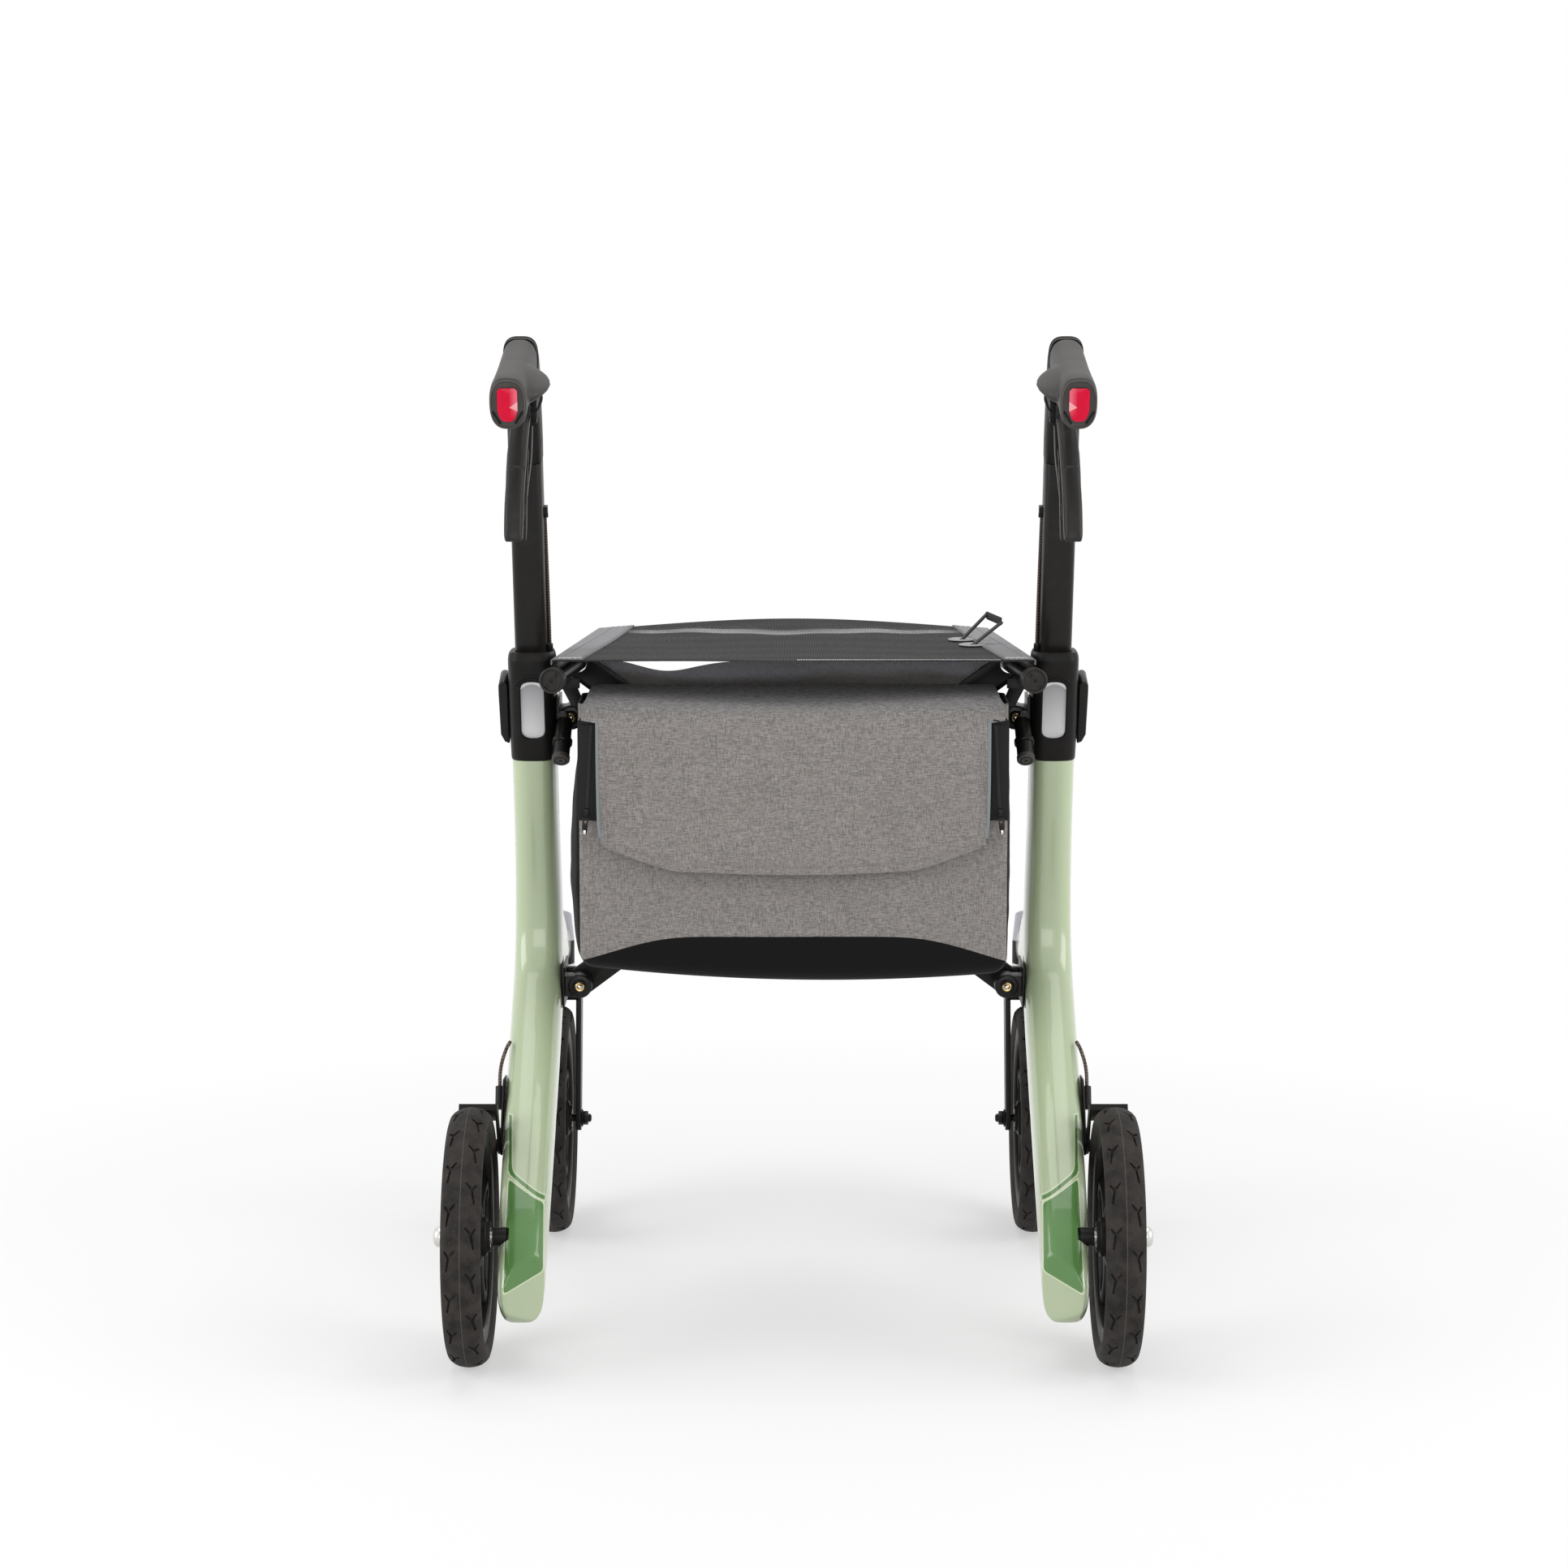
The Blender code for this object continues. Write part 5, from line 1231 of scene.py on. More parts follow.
def bearings(centre, bore):
    """The silver bearing that shows on each side of a rim's hub."""
    faces = []
    for side in (-1, 1):
        profile = [(bore + 0.0002, 0.0158), (0.0099, 0.0158), (0.0099, 0.0168), (0.0090, 0.0172),
                   (0.0074, 0.0172), (0.0072, 0.0167), (0.0060 + bore / 8, 0.0167), (bore + 0.0010, 0.0172),
                   (bore + 0.0002, 0.0172)]
        faces.append(turned("bearing", [(radius, side * along) for radius, along in profile], 48, centre))
    return merge("bearings", faces)


def hexagon(name, centre, along, thick, radius):
    """A six-sided nut or bolt head round an axle along X, its corners eased."""
    start = centre + Vector((along, 0, 0))
    return bevelled(bar(name, start, centre + Vector((along + thick, 0, 0)), radius, 6), 0.0004, 2, 20)


def rear_axle():
    """The stub axle with its washer and a domed head with a socket."""
    profile = [(0.0, 0.0320), (0.0030, 0.0319), (0.0058, 0.0313), (0.0078, 0.0301), (0.0088, 0.0284),
               (0.0090, 0.0262), (0.0090, 0.0244), (0.0098, 0.0240), (0.0100, 0.0234), (0.0100, 0.0214),
               (0.0110, 0.0212), (0.0112, 0.0207), (0.0112, 0.0194), (0.0110, 0.0190), (0.0060, 0.0190),
               (0.0060, -0.0189), (0.0, -0.0189)]
    place = Vector((REAR_WHEEL_X, REAR_AXLE_Y, WHEEL_RADIUS))
    piece = turned("rear_axle_bolt", profile, 48, place)
    socket = bar("socket", place + Vector((0.0285, 0, 0)), place + Vector((0.0340, 0, 0)), 0.0030, 6)
    return carve(piece, socket)


def axle_stub():
    """The dark spacer between the rear wheel and the leg, seated in the leg."""
    profile = [(0.0, -0.0191), (0.0078, -0.0191), (0.0080, -0.0193), (0.0080, -0.0310), (0.0, -0.0310)]
    return turned("axle_stub", profile, 40, (REAR_WHEEL_X, REAR_AXLE_Y, WHEEL_RADIUS))


def front_axle(centre):
    """The front wheel's through bolt: a hexagon head outside, a washer, a nut and a domed end inside."""
    shaft_side = [(0.0, -0.0362), (0.0022, -0.0361), (0.0034, -0.0355), (0.004, -0.0345), (0.004, 0.0300),
                  (0.0, 0.0300)]
    washer = [(0.004, -0.0265), (0.0083, -0.0265), (0.0085, -0.0269), (0.0085, -0.0275), (0.0083, -0.0278),
              (0.004, -0.0278)]
    parts = [turned("shaft", shaft_side, 32, centre)]
    parts += [turned("washer", [(r, side * a) for r, a in washer], 40, centre) for side in (-1, 1)]
    parts.append(hexagon("head", centre, 0.0279, 0.0045, 0.0070))
    parts.append(hexagon("nut", centre, -0.0328, 0.0050, 0.0070))
    return merge("front_axle_bolt", parts)


def build_wheels():
    """Tyres, rims, axles, brakes and the caster."""
    for end, bore in (("rear", 0.0063), ("front", 0.0043)):
        centre = wheel_centre("right_" + end)
        both_sides(named(tyre(centre), end + "_tread"), "tyre", end + "_wheel", [end + "_tyre"], 40)
        both_sides(named(rim(centre, bore), end + "_wheel_rim"), "plastic", end + "_wheel", [end + "_rim"])
        both_sides(named(bearings(centre, bore), end + "_bearings"), "silver", end + "_wheel")
    both_sides(rear_axle(), "silver", "side", ["rear_axle"])
    both_sides(axle_stub(), "steel", "side")
    both_sides(front_axle(wheel_centre("right_front")), "steel", "caster", ["front_axle"])
    for node, name, look, body, width in (
        ("brake_bracket", "bracket_plate", "steel", "side", 0.0004),
        ("brake_shoe", "shoe_arm", "plastic", "brake", 0.0005),
        ("fork", "caster_fork", "steel", "caster", 0.0008),
        ("steering_head", "head_housing", "plastic", "side", 0.0008),
        ("head_cap", "head_cap_fine", "white", "side", 0.0012),
    ):
        both_sides(from_frame(node, name, width, 3), look, body, [node])
    band = [(0.0178, 0.0), (0.0184, 0.0), (0.0189, 0.0006), (0.0189, 0.0046), (0.0184, 0.0052),
            (0.0178, 0.0052)]
    piece = facing(turned("head_band", band, 64), (SIDE_X, STEER_Y, 0.2536), (0, 0, 1))
    both_sides(piece, "silver", "side")


def hinge_face(name, place):
    """The round face of a hinge, seen from behind: a stepped black disc, a brass rim and a silver screw."""
    disc = [(0.0, 0.0), (0.0, 0.0026), (0.0056, 0.0026), (0.0062, 0.0020), (0.0066, 0.0013), (0.0092, 0.0012),
            (0.0102, 0.0008), (0.0106, 0.0002), (0.0106, 0.0)]
    head = [(0.0, 0.0024), (0.0, 0.0040), (0.0010, 0.0039), (0.0018, 0.0035), (0.0022, 0.0029),
            (0.0022, 0.0024)]
    ring = [(0.0024, 0.0024), (0.0024, 0.0032), (0.0034, 0.0034), (0.0042, 0.0030), (0.0042, 0.0024)]
    faces = [
        facing(turned(name + part, profile, sides), place, (0, -1, 0))
        for part, profile, sides in (("", disc, 48), ("_screw", head, 32), ("_rim", ring, 32))
    ]
    for face, look in zip(faces, ("gloss", "silver", "brass")):
        both_sides(face, look, "side")


def build_hinges():
    """Brackets, links and the two bars of the scissor."""
    for node, name, body, width in (
        ("upper_bracket", "hub_bracket", "side", 0.0007), ("lower_bracket", "foot_bracket", "side", 0.0007),
        ("guide_link", "lifting_link", "link", 0.0009),
    ):
        both_sides(from_frame(node, name, width), "steel", body, [node])
    hinge_face("upper_hinge", (0.1995, -0.0202, 0.5355))
    hinge_face("lower_hinge", (0.1950, 0.0018, 0.2855))
    collar = [(0.0016, -0.0050), (0.0016, 0.0003), (0.0042, 0.0003), (0.0044, -0.0005), (0.0054, -0.0005),
              (0.0056, 0.0003), (0.0073, 0.0002), (0.0080, -0.0006), (0.0080, -0.0042), (0.0070, -0.0050)]
    end = Vector((0.2068, -0.0600, 0.5020))
    way = end - Vector((0.2052, -0.0300, 0.5330))
    both_sides(facing(turned("peg_end", collar, 40), end, way), "end_cap", "side")
    step = [(0.0070, 0.0), (0.0086, 0.0), (0.0090, -0.0006), (0.0090, -0.0040), (0.0086, -0.0046),
            (0.0070, -0.0046)]
    both_sides(facing(turned("peg_step", step, 40), end - way * 0.42, way), "gloss", "side")
    for node, look, body in (("strut_rear", "tube", "rear_strut"), ("strut_front", "tube", "front_strut"),
                             ("cross_pivot", "steel", "rear_strut")):
        dressed(refined(node, 0.0012, 3), look, body, [node])


def seat_rod():
    """The rod under the seat's edge, with the rails that the seat rests on."""
    piece = bar("rod", rod_centre(-0.1060), rod_centre(0.185), ROD_RADIUS, sides=40)
    turn = Matrix.Rotation(math.atan(ROD_TOE_IN), 4, "Z")
    rails = []
    for back, front in ((-0.0900, 0.0225), (0.0465, 0.1750)):
        half = (front - back) / 2
        rail = block("rail", (-0.0016, -half, 0.0055), (0.0016, half, 0.0147))
        moved(rail, Matrix.Translation(rod_centre((back + front) / 2)) @ turn)
        rails.append(bevelled(rail, 0.0005))
    return merge("seat_rod_bar", [piece, *rails])


def rod_caps():
    """The rod's end caps: the rear one with a recessed face, two slots on a diagonal and a centre screw."""
    heading = Vector((ROD_TOE_IN, -1.0, 0.0))
    profile = [(0.0, 0.0060), (0.0034, 0.0060), (0.0036, 0.0052), (0.0088, 0.0048), (0.0094, 0.0062),
               (0.0104, 0.0064), (0.0112, 0.0058), (0.0114, 0.0046), (0.0112, -0.0014), (0.0106, -0.0018),
               (0.0106, -0.0030), (0.0113, -0.0034), (0.0113, -0.0062), (0.0108, -0.0070), (0.0, -0.0070)]
    cap = turned("cap", profile, 64)
    for turn in (math.radians(38), math.radians(218)):
        slot = block("slot", (0.0036, -0.0017, 0.0046), (0.0080, 0.0017, 0.0084))
        carve(cap, moved(slot, Matrix.Rotation(turn, 4, "X")))
    carve(cap, bar("socket", (0.0040, 0, 0), (0.0080, 0, 0), 0.0022, 6))
    rear = facing(cap, rod_centre(-0.1065), heading)
    profile = [(0.0, 0.0058), (0.0088, 0.0058), (0.0098, 0.0050), (0.0102, 0.0038), (0.0102, -0.0070),
               (0.0, -0.0070)]
    front = facing(turned("front_cap", profile, 48), rod_centre(0.1890), -heading)
    return merge("rod_caps", [rear, front])


def seat_height(x, y):
    """The height of the seat's middle surface."""
    along = (y - SEAT_REAR_Y) / (SEAT_FRONT_Y - SEAT_REAR_Y)
    across = (x / (rod_centre(y).x + SEAT_OVERHANG) + 1) / 2
    arch = math.sin(math.pi * limited(across))
    return SEAT_LEVEL + 0.0009 + arch * (0.010 * along ** 4 - 0.003 * (1 - along) * along)


def seat_cloth():
    """The stretched seat: mesh over the rods, slack in the middle and lifted at its front edge."""
    def place(u, v):
        y = SEAT_REAR_Y + (SEAT_FRONT_Y - SEAT_REAR_Y) * v
        half = rod_centre(y).x + SEAT_OVERHANG
        x = half * (2 * u - 1)
        sag = waver(x * 9.0, y * 9.0, 0.4) * 0.0007 * math.sin(math.pi * u)
        return Vector((x, y, seat_height(x, y) + sag))
    return cloth("seat_cloth", 120, 80, place, 0.0014)


def hem_inner(y):
    """How far out the hem's inner edge lies at a place along Y."""
    return 0.1845 - 0.1209 * (y - SEAT_REAR_Y)


def seat_hem():
    """The webbing along the seat's edge, wrapped down over the outside of the rail."""
    drop = 0.0040
    lift = 0.0014
    fold = 0.0020

    def place(u, v):
        y = SEAT_REAR_Y - 0.0006 + (SEAT_FRONT_Y - SEAT_REAR_Y + 0.0012) * v
        inner = hem_inner(y)
        outer = rod_centre(y).x + 0.0030
        run = (outer - inner + drop) * u
        flat = outer - inner - fold
        if run <= flat:
            x = inner + run
            return Vector((x, y, seat_height(x, y) + lift))
        turn = min((run - flat) / 0.0030, 1.0) * math.pi / 2
        top = seat_height(inner + flat, y) + lift
        x = inner + flat + fold * math.sin(turn)
        below = max(0.0, run - flat - 0.0030)
        return Vector((x, y, top - fold * (1 - math.cos(turn)) - below))
    return cloth("seat_hem", 44, 120, place, 0.0010)


def edge_line(inset, lift):
    """A line beside the hem's inner edge, at a height over the seat."""
    line = []
    for step in range(61):
        y = SEAT_REAR_Y + SEAT_LENGTH * step / 60
        x = hem_inner(y) + inset
        line.append(Vector((x, y, seat_height(x, y) + lift)))
    return line


def seat_details():
    """The hem's seam, zigzags and rows of stitches, and the threads along the seat's rear edge."""
    seam = [Vector((hem_inner(y) + 0.0006, y, seat_height(hem_inner(y), y) + 0.0015))
            for y in (SEAT_REAR_Y + SEAT_LENGTH * step / 60 for step in range(61))]
    seat_side(cord("hem_seam", seam, 0.0005, 8), "tape")
    rows = []
    for start in (SEAT_REAR_Y + 0.0012, SEAT_REAR_Y + 0.0050, SEAT_FRONT_Y - 0.0060):
        zigzag = []
        for index in range(9):
            x = hem_inner(start) + 0.0018 + index * 0.0024
            y = start + (0.0030 if index % 2 else 0.0)
            zigzag.append(Vector((x, y, seat_height(x, y) + 0.0021)))
        rows.append(cord("zigzag", zigzag, 0.0005, 6))
    seat_side(merge("hem_zigzag", rows), "pale_thread")
    fringe = [Vector((x, SEAT_REAR_Y + 0.0008, seat_height(x, SEAT_REAR_Y) + 0.0008))
              for x in (0.004 + 0.178 * step / 60 for step in range(61))]
    on_seat(stitches("edge_threads", fringe, 0.0009, 0.0015, 0.00045), "pale_thread")
    for inset, name in ((0.0030, "hem_stitches_a"), (0.0200, "hem_stitches_b")):
        seat_side(stitches(name, edge_line(inset, 0.0020), 0.0021, 0.0031, 0.0003), "thread")


def on_seat(piece, look, nodes=()):
    """Dress a piece that lies on the seat's cloth."""
    dressed(piece, look, "left_seat", nodes)
    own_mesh(piece)
    return piece


def seat_side(piece, look):
    """A right-hand piece of the seat's edge and its left-hand twin, both dressed as pieces on the seat's
    cloth.
    """
    [on_seat(half, look) for half in pair(piece)]


def strap_band():
    """The flat webbing of the loop: two legs seen edge-on and a short run between them."""
    far_foot = Vector((0.1542, 0.0717, 0.5958))
    far_top = Vector((0.1765, 0.0600, 0.6206))
    near_top = Vector((0.1900, 0.0345, 0.6166))
    near_foot = Vector((0.1626, 0.0276, 0.5956))
    leg = Vector((0.12, -0.99, 0.0)) * 0.0045
    run = Vector((0.0, -0.25, -0.97)) * 0.0036
    route = []
    halves = []
    for start, end, half in ((far_foot, far_top, leg), (far_top, near_top, run), (near_top, near_foot, leg)):
        for share in (0.0, 0.07, 0.30, 0.5, 0.70, 0.93, 1.0)[half is run:7 - (half is run)]:
            route.append(start.lerp(end, share))
            halves.append(half)
    return bevelled(ribbon("pull_loop", route, halves, 0.0017), 0.0003, 2, 50)


def pull_strap():
    """The loop that folds the walker, its legs sewn through the seat at two patches."""
    dressed(strap_band(), "webbing", "right_seat", ["pull_strap"])
    for name, x, y in (("near_patch", 0.1622, 0.0272), ("far_patch", 0.1542, 0.0717)):
        turns = [math.tau * step / 48 for step in range(49)]
        outline = [(x + 0.0120 * math.cos(turn), y + 0.0140 * math.sin(turn)) for turn in turns[:48]]
        level = seat_height(x, y) + 0.0014
        patch = slab(name, outline, level, level + 0.0009, "XY")
        low = (x - 0.0012, y - 0.0056, level - 0.001)
        carve(patch, block("slit", low, (x + 0.0012, y + 0.0056, level + 0.003)))
        dressed(bevelled(patch, 0.0004, 2, 50), "disc", "right_seat")
        ring = [Vector((x + 0.0102 * math.cos(turn), y + 0.0122 * math.sin(turn), level + 0.0010))
                for turn in turns]
        dressed(stitches(name + "_stitches", ring, 0.0020, 0.0029, 0.0003), "pale_thread", "right_seat")


def build_seat():
    """Rods, seat and strap."""
    both_sides(seat_rod(), "tube", "seat", ["seat_rod"])
    both_sides(rod_caps(), "lever", "seat")
    seat = on_seat(seat_cloth(), "mesh", ["seat_fabric"])
    seat_side(seat_hem(), "hem")
    seat_details()
    pull_strap()


def on_bag(piece, look, nodes=(), angle=45):
    """Dress a piece of the bag, which hangs on the left side."""
    dressed(piece, look, "left_side", nodes, angle)
    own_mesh(piece)
    return piece


def bag_half(level):
    """Half the width of the bag's rear panel at a height."""
    return BAG_HALF_WIDTH - 0.0010 * (BAG_TOP - level) / (BAG_TOP - BAG_BOTTOM)


def gusset_bulge(x, deep, level):
    """How far a gusset is pushed out at a height and at a share of the bag's depth, more on the left."""
    upright = math.sin(math.pi * limited((0.512 - level) / 0.205)) ** 0.8
    reach = 0.0095 if x < 0 else 0.0038
    return reach * upright * math.sin(math.pi * limited(deep)) ** 0.7


def bag_levels():
    """The heights of the bag's sections, from its bottom up, and how far in each one lies."""
    foot = BAG_BOTTOM + 0.0056
    levels = [(foot, 0.0420 * (1 - index / 6) + BAG_CORNER * index / 6) for index in range(7)]
    for index in range(1, 9):
        turn = math.pi / 2 * index / 8
        levels.append((foot + BAG_CORNER * (1 - math.cos(turn)), BAG_CORNER * (1 - math.sin(turn))))
    rise = BAG_TOP - foot - BAG_CORNER
    return levels + [(foot + BAG_CORNER + rise * index / 46, 0.0) for index in range(1, 47)]


def bag_section(level, inset):
    """The bag's outline at a height, round its own middle, with many points along each straight."""
    half_x = bag_half(level) - inset * 0.75
    depth = BAG_HALF_DEPTH - inset
    ring = []
    for centre_x, centre_y, start in ((half_x, depth, 0.0), (-half_x, depth, 0.5), (-half_x, -depth, 1.0),
                                      (half_x, -depth, 1.5)):
        radius = min(0.0120 if centre_y > 0 else 0.0045, depth - 0.0005)
        inner_x = math.copysign(abs(centre_x) - radius, centre_x)
        inner_y = math.copysign(abs(centre_y) - radius, centre_y)
        for step in range(7):
            turn = math.pi * (start + step / 12)
            ring.append(Vector((inner_x + radius * math.cos(turn), inner_y + radius * math.sin(turn), level)))
    even = []
    for index, place in enumerate(ring):
        after = ring[(index + 1) % len(ring)]
        parts = {6: 60, 20: 60, 13: 14, 27: 14}.get(index, 1)
        even += [place.lerp(after, part / parts) for part in range(parts)]
    return even


def soften_bag(place):
    """Move a point of the bag's wall: lifted ends, waves, creases, pushed-out gussets and a sagging rim."""
    weight = 1 - blend_in(0.33, 0.46, place.z)
    place.z += 0.010 * ((place.x - 0.03) / 0.19) ** 2 * weight
    wave = waver(place.x * 11.0, place.y * 11.0, place.z * 9.0)
    crease = waver(place.x * 4.0, place.y * 30.0, place.z * 42.0)
    strength = blend_in(0.300, 0.340, place.z) * (1 - blend_in(0.50, 0.55, place.z))
    side = blend_in(0.150, 0.185, abs(place.x))
    place.y += (0.0016 * wave) * strength * (1 - side)
    place.x += math.copysign((0.0018 * crease + 0.0012 * wave) * strength * side, place.x) * 0.6
    bulge = gusset_bulge(place.x, (place.y + BAG_HALF_DEPTH) / (2 * BAG_HALF_DEPTH), place.z)
    place.x += math.copysign(bulge * side, place.x)
    dip = 0.0080 * math.cos(math.pi / 2 * min(1.0, abs(place.x) / 0.19))
    place.z -= dip * blend_in(0.50, BAG_TOP, place.z)
    place.y += (BAG_REAR_Y + BAG_FRONT_Y) / 2


def bag_shell():
    """The open-topped bag: a soft box with rounded edges."""
    rings = [bag_section(level, inset) for level, inset in bag_levels()]
    for ring in rings:
        for place in ring:
            soften_bag(place)
    piece = swept("bag_shell", rings, head=False)
    return apply(piece, "SOLIDIFY", thickness=0.0016, offset=-1.0)


def flap_section(distance, sag):
    """A point (y, z) of the flap, from its front edge over the bag's top and round the bend behind it."""
    front = BAG_FRONT_Y - 0.006
    if distance < FLAP_TOP_RUN:
        return front - distance, FLAP_TOP - sag * distance / FLAP_TOP_RUN
    angle = min((distance - FLAP_TOP_RUN) / FLAP_CORNER, math.pi / 2)
    back = FLAP_TOP_RUN + FLAP_CORNER * math.sin(angle)
    return front - back, FLAP_TOP - sag - FLAP_CORNER * (1 - math.cos(angle))


def flap_foot(x):
    """The height of the flap's lower edge, almost level in the middle and rising at its corners."""
    x = abs(x)
    if x < FLAP_STRAIGHT_HALF:
        return 0.4058 + 0.0030 * (x / FLAP_STRAIGHT_HALF) ** 2
    return 0.4088 + 0.0236 * ((x - FLAP_STRAIGHT_HALF) / 0.067) ** 1.2


def flap_half(level):
    """Half the flap's width at a height: wide over the bag's top and stepped in below."""
    if level > FLAP_STEP:
        return FLAP_WIDE_HALF
    return 0.1698 + 0.0014 * limited((level - 0.436) / 0.050)


def flap_wave(x, z):
    """How far the hanging part of the flap waves out and in."""
    loose = 1 - blend_in(0.50, 0.555, z)
    broad = waver(x * 10.0, 0.2, z * 5.0) * 0.0034
    fine = waver(x * 26.0, 3.0, z * 14.0) * 0.0012
    slant = waver(x * 9.0 + z * 16.0, 7.0, z * 30.0 - x * 12.0) * 0.0018
    return (broad + fine + slant) * (0.25 + 0.75 * loose) - 0.0016 * loose


def bag_cover():
    """The flap: over the bag's top, down behind it, stepped in below its first few centimetres."""
    over = FLAP_TOP_RUN + FLAP_CORNER / 2 * math.pi
    over_share = 0.4
    step_share = 0.15

    def place(u, v):
        side = 2 * u - 1
        sag = 0.0070 * math.cos(math.pi / 2 * side) ** 1.3
        if v < over_share:
            y, z = flap_section(v / over_share * over, sag)
            half = FLAP_WIDE_HALF - 0.0050 * blend_in(-0.0095, 0.0, z - FLAP_TOP + sag)
            return Vector((half * side, y, z))
        share = (v - over_share) / (1 - over_share)
        upper = FLAP_TOP - FLAP_CORNER - sag
        if share < step_share:
            x = FLAP_WIDE_HALF * side
            z = upper + (FLAP_STEP + 0.0003 - upper) * share / step_share
        else:
            top = FLAP_STEP - 0.0003
            foot = flap_foot(FLAP_NARROW_HALF * side)
            z = top + (foot - top) * (share - step_share) / (1 - step_share)
            x = flap_half(z) * side
        return Vector((x, FLAP_REAR_Y + flap_wave(x, z), z))
    return cloth("bag_cover", 130, 100, place, 0.0016)


def on_flap(x, z, lift=0.0011):
    """A point at a height over the hanging part of the flap's rear face."""
    return Vector((x, FLAP_REAR_Y + flap_wave(x, z) - lift, z))


def flap_line(inset_foot, lift, steps, half):
    """A line on the flap's rear face at a distance above its lower edge."""
    places = [half * (2 * step / steps - 1) for step in range(steps + 1)]
    return [on_flap(x, flap_foot(x) + inset_foot, lift) for x in places]


def flap_side_line(inset, top, foot):
    """A line on the flap's rear face at a distance in from its right edge."""
    heights = [top + (foot - top) * step / 50 for step in range(51)]
    return [on_flap(flap_half(z) - inset, z) for z in heights]


def zip_side(piece, look):
    """A right-hand piece of the bag's zip and its left-hand twin."""
    [on_bag(half, look) for half in pair(piece)]


def zippers():
    """The zip beside each edge of the flap: tape, piping, two rows of teeth, a slider and its puller."""
    panel = block("zip_tape_panel", (0.1700, -0.0932, 0.4530), (0.1899, -0.0912, 0.5420))
    zip_side(bevelled(panel, 0.0005), "tape")
    piping = [(0.1724, -0.0962, FLAP_STEP), (0.1724, -0.0966, 0.5100), (0.1722, -0.0966, 0.4800),
              (0.1716, -0.0964, 0.4520), (0.1700, -0.0962, 0.4380)]
    zip_side(cord("zip_piping", smooth(piping, 8), 0.0015, 12), "piping")
    roll = [(0.1752, -0.0945, 0.5432), (0.1765, -0.0940, 0.5424), (0.1820, -0.0938, 0.5416),
            (0.1875, -0.0930, 0.5412)]
    zip_side(cord("zip_roll", smooth(roll, 4), 0.0026, 16), "tape")
    start = Vector((0.1778, ZIP_Y, 0.5375))
    end = Vector((0.1818, ZIP_Y, 0.4640))
    teeth = []
    for row, shift in ((-1, 0.0), (1, 0.5)):
        count = int((end - start).length / 0.0015)
        for index in range(count):
            place = start.lerp(end, (index + shift) / count)
            teeth.append(Matrix.Translation(place + Vector((row * 0.0007, 0.0, 0.0))))
    tooth = block("tooth", (-0.0006, -0.0005, -0.00036), (0.0006, 0.0006, 0.00036))
    zip_side(repeated("zip_teeth", bevelled(tooth, 0.00012, 1), teeth), "end_cap")
    body = bevelled(block("slider", (0.1800, -0.0956, 0.4566), (0.1846, -0.0928, 0.4636)), 0.0011, 3)
    bridge = bevelled(block("bridge", (0.1815, -0.0968, 0.4560), (0.1831, -0.0950, 0.4620)), 0.0006)
    outline = [(0.1806, 0.4560), (0.1858, 0.4560), (0.1862, 0.4480), (0.1856, 0.4408), (0.1824, 0.4408),
               (0.1812, 0.4480)]
    puller = slab("puller", outline, -0.0974, -0.0960, "XZ")
    carve(puller, block("hole", (0.1820, -0.1000, 0.4510), (0.1844, -0.0900, 0.4545)))
    zip_side(merge("zip_slider", [body, bridge, bevelled(puller, 0.0005)]), "gloss")
    tip = block("zip_puller_tip", (0.1829, -0.0978, 0.4412), (0.1852, -0.0970, 0.4450))
    zip_side(bevelled(tip, 0.0003), "silver")


def front_flap():
    """The loose cloth under the seat's front half, in soft folds."""
    def place(u, v):
        half = 0.168 + 0.016 * max(0.0, 1 - v / 0.2)
        x = half * (2 * u - 1)
        dip = 0.0100 * math.exp(-((x + 0.118) / 0.035) ** 2)
        rise = 0.0025 * (x / 0.184) ** 2
        fold = 0.0036 * math.sin(math.tau * 2.5 * u + 0.6)
        fold += 0.0026 * math.sin(math.tau * (2.4 * u - 0.9 * v) + 0.8)
        fold += waver(x * 22.0, 1.0, v * 2.0) * 0.0020
        return Vector((x, 0.058 + fold, 0.5783 - dip + rise - 0.105 * v))
    return cloth("front_flap", 120, 40, place, 0.0014)


def build_bag():
    """The bag, its flap with the zips, and the loose flap in front."""
    on_bag(bag_shell(), "bag", ["bag"], 60)
    cover = on_bag(bag_cover(), "linen", ["bag_flap"], 60)
    lower = stitches("flap_stitches", flap_line(0.0070, 0.0011, 120, 0.1600), 0.0024, 0.0034)
    on_bag(lower, "thread")
    edge = cord("flap_binding", flap_line(0.0004, 0.0003, 160, 0.1660), 0.0011, 8)
    on_bag(edge, "linen")
    zip_side(stitches("flap_side_stitches", flap_side_line(0.0050, 0.5280, 0.4360), 0.0024, 0.0034), "thread")
    zippers()
    flap = on_seat(front_flap(), "lavender", ["bag_front_flap"])


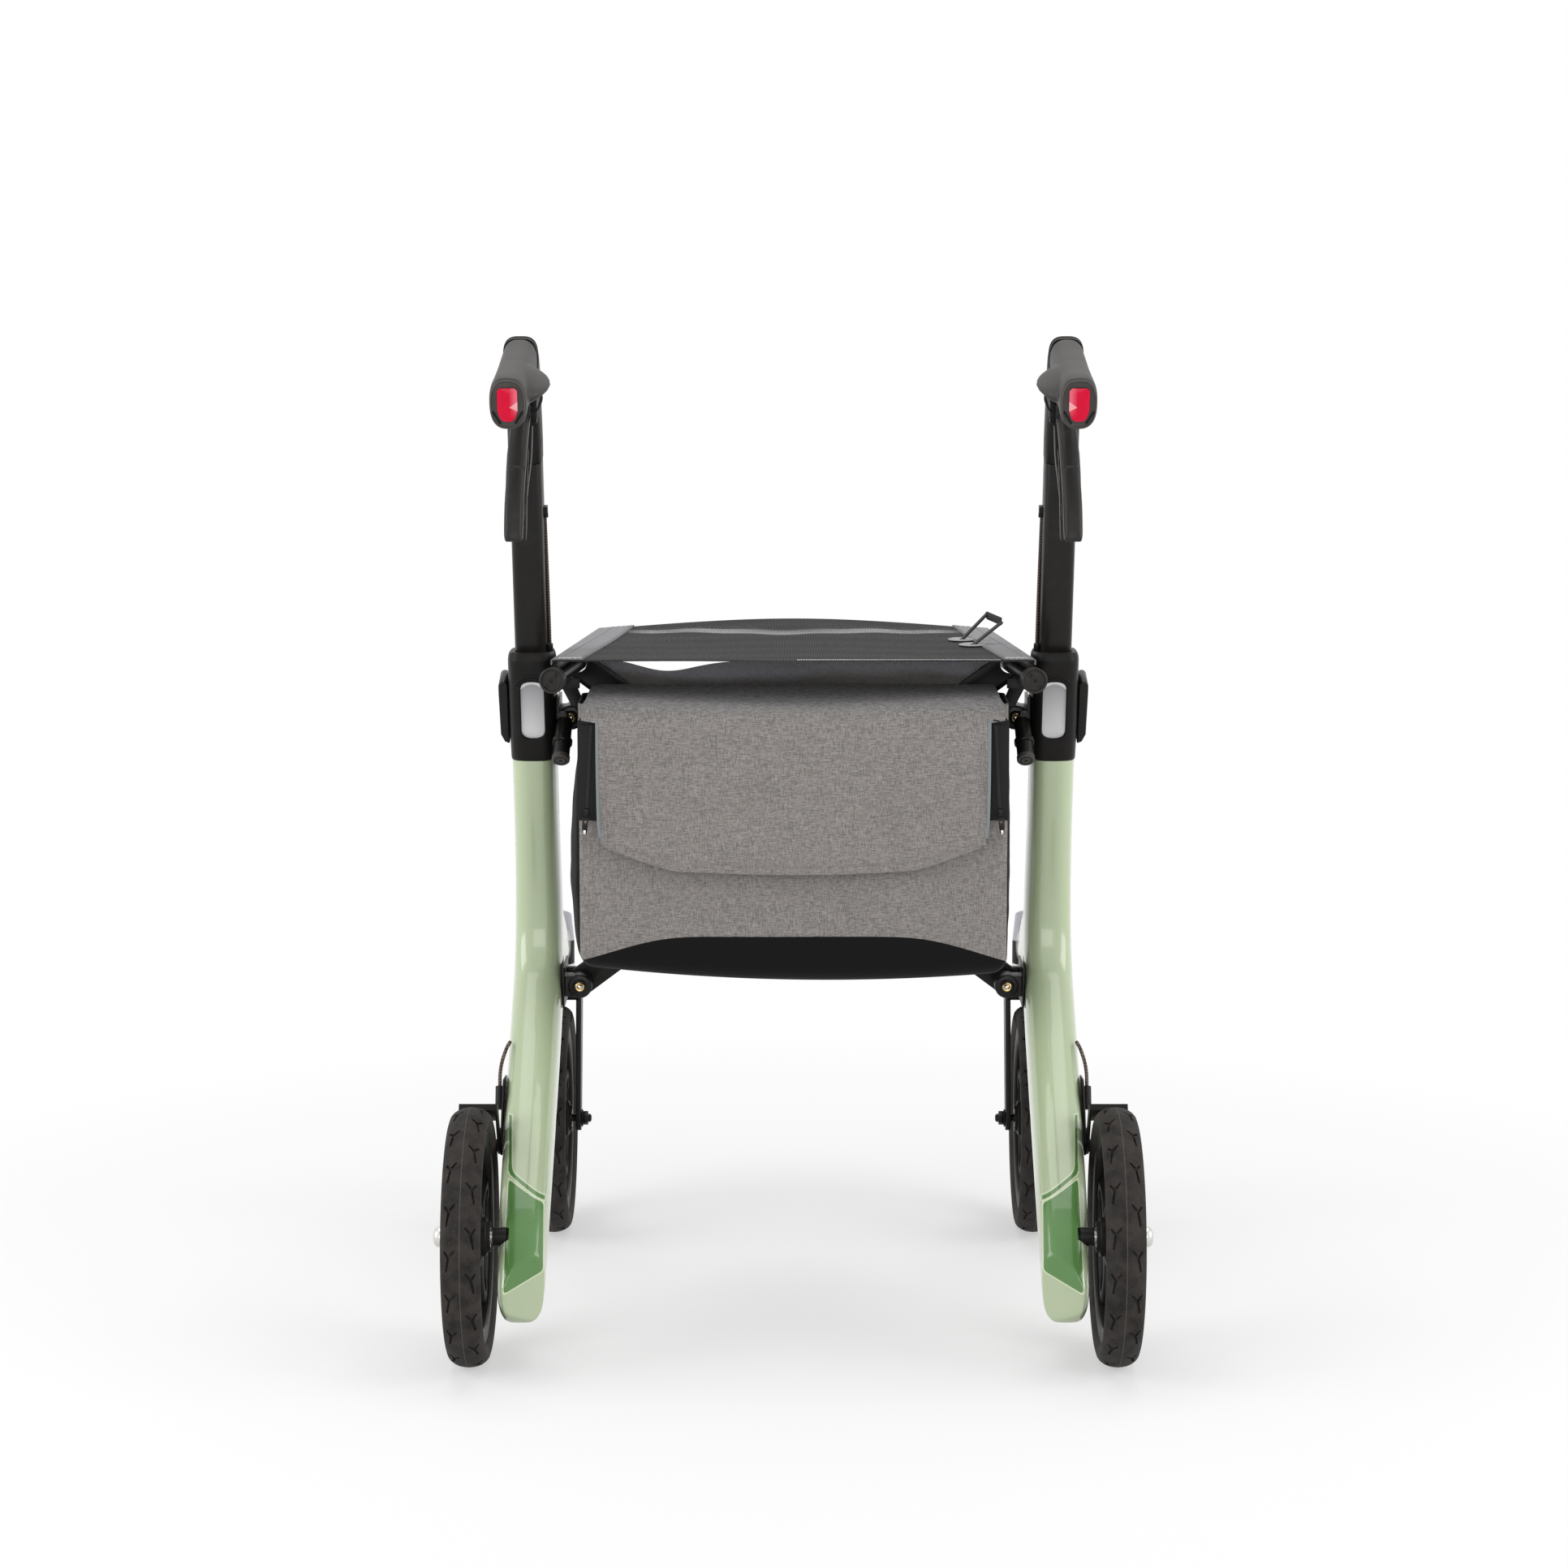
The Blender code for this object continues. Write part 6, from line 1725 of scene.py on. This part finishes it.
def pale_floor():
    """A pale floor that keeps the object's shadow and reads white further away."""
    bpy.ops.mesh.primitive_plane_add(size=24.0)
    floor = bpy.context.object
    floor.name = "floor"
    finish = Finish("pale_floor", (0.93, 0.93, 0.93), 0.9, specular=0.0)
    x, y, _ = finish.place()
    distance = (x * x + y * y).math("SQRT")
    far = ((distance - 0.45) / 0.7).share()
    white = finish.node("ShaderNodeEmission", (), {"Color": (1, 1, 1, 1), "Strength": 1.0})
    lit = Value(finish, finish.shader.outputs[0])
    mixed = finish.node("ShaderNodeMixShader", (), [finish.seen() * (far * 0.55 + 0.45), lit, white])
    finish.tree.links.new(mixed.socket, finish.tree.nodes["Material Output"].inputs["Surface"])
    floor.data.materials.append(finish.material)


def studio_world():
    """An even sky, white to the camera and softer on the object."""
    world = bpy.data.worlds.new("studio")
    bpy.context.scene.world = world
    world.use_nodes = True
    sky = Network(world.node_tree)
    strength = sky.seen() * (1.0 - SKY_LEVEL) + SKY_LEVEL
    background = world.node_tree.nodes["Background"]
    background.inputs["Color"].default_value = (1.0, 1.0, 1.0, 1.0)
    world.node_tree.links.new(strength.socket, background.inputs["Strength"])


def stage_and_light():
    """Floor, sky, soft boxes and a camera that sees the object as the photograph does."""
    scene = bpy.context.scene
    scene.view_settings.view_transform = "Standard"
    pale_floor()
    studio_world()
    for name, place, size, power in SOFTBOXES:
        lamp = bpy.data.lights.new(name, "AREA")
        lamp.size = size
        lamp.energy = power
        holder = linked(name, lamp)
        holder.location = place
        aim = Vector((0.0, 0.0, 0.45)) - Vector(place)
        holder.rotation_euler = aim.to_track_quat("-Z", "Y").to_euler()
    camera = bpy.data.cameras.new("camera")
    camera.lens = 85.53
    camera.shift_x = -0.00595
    camera.shift_y = 0.00155
    camera.clip_start = 0.1
    camera.clip_end = 100.0
    holder = linked("camera", camera)
    holder.location = (0.0, -3.342, 0.94)
    holder.rotation_euler = (math.radians(82), 0.0, 0.0)
    scene.camera = holder


both_sides(carbon_shell(), "mint", "side", ["frame"], 40)
build_handle()
build_wheels()
build_hinges()
build_seat()
build_bag()
stage_and_light()
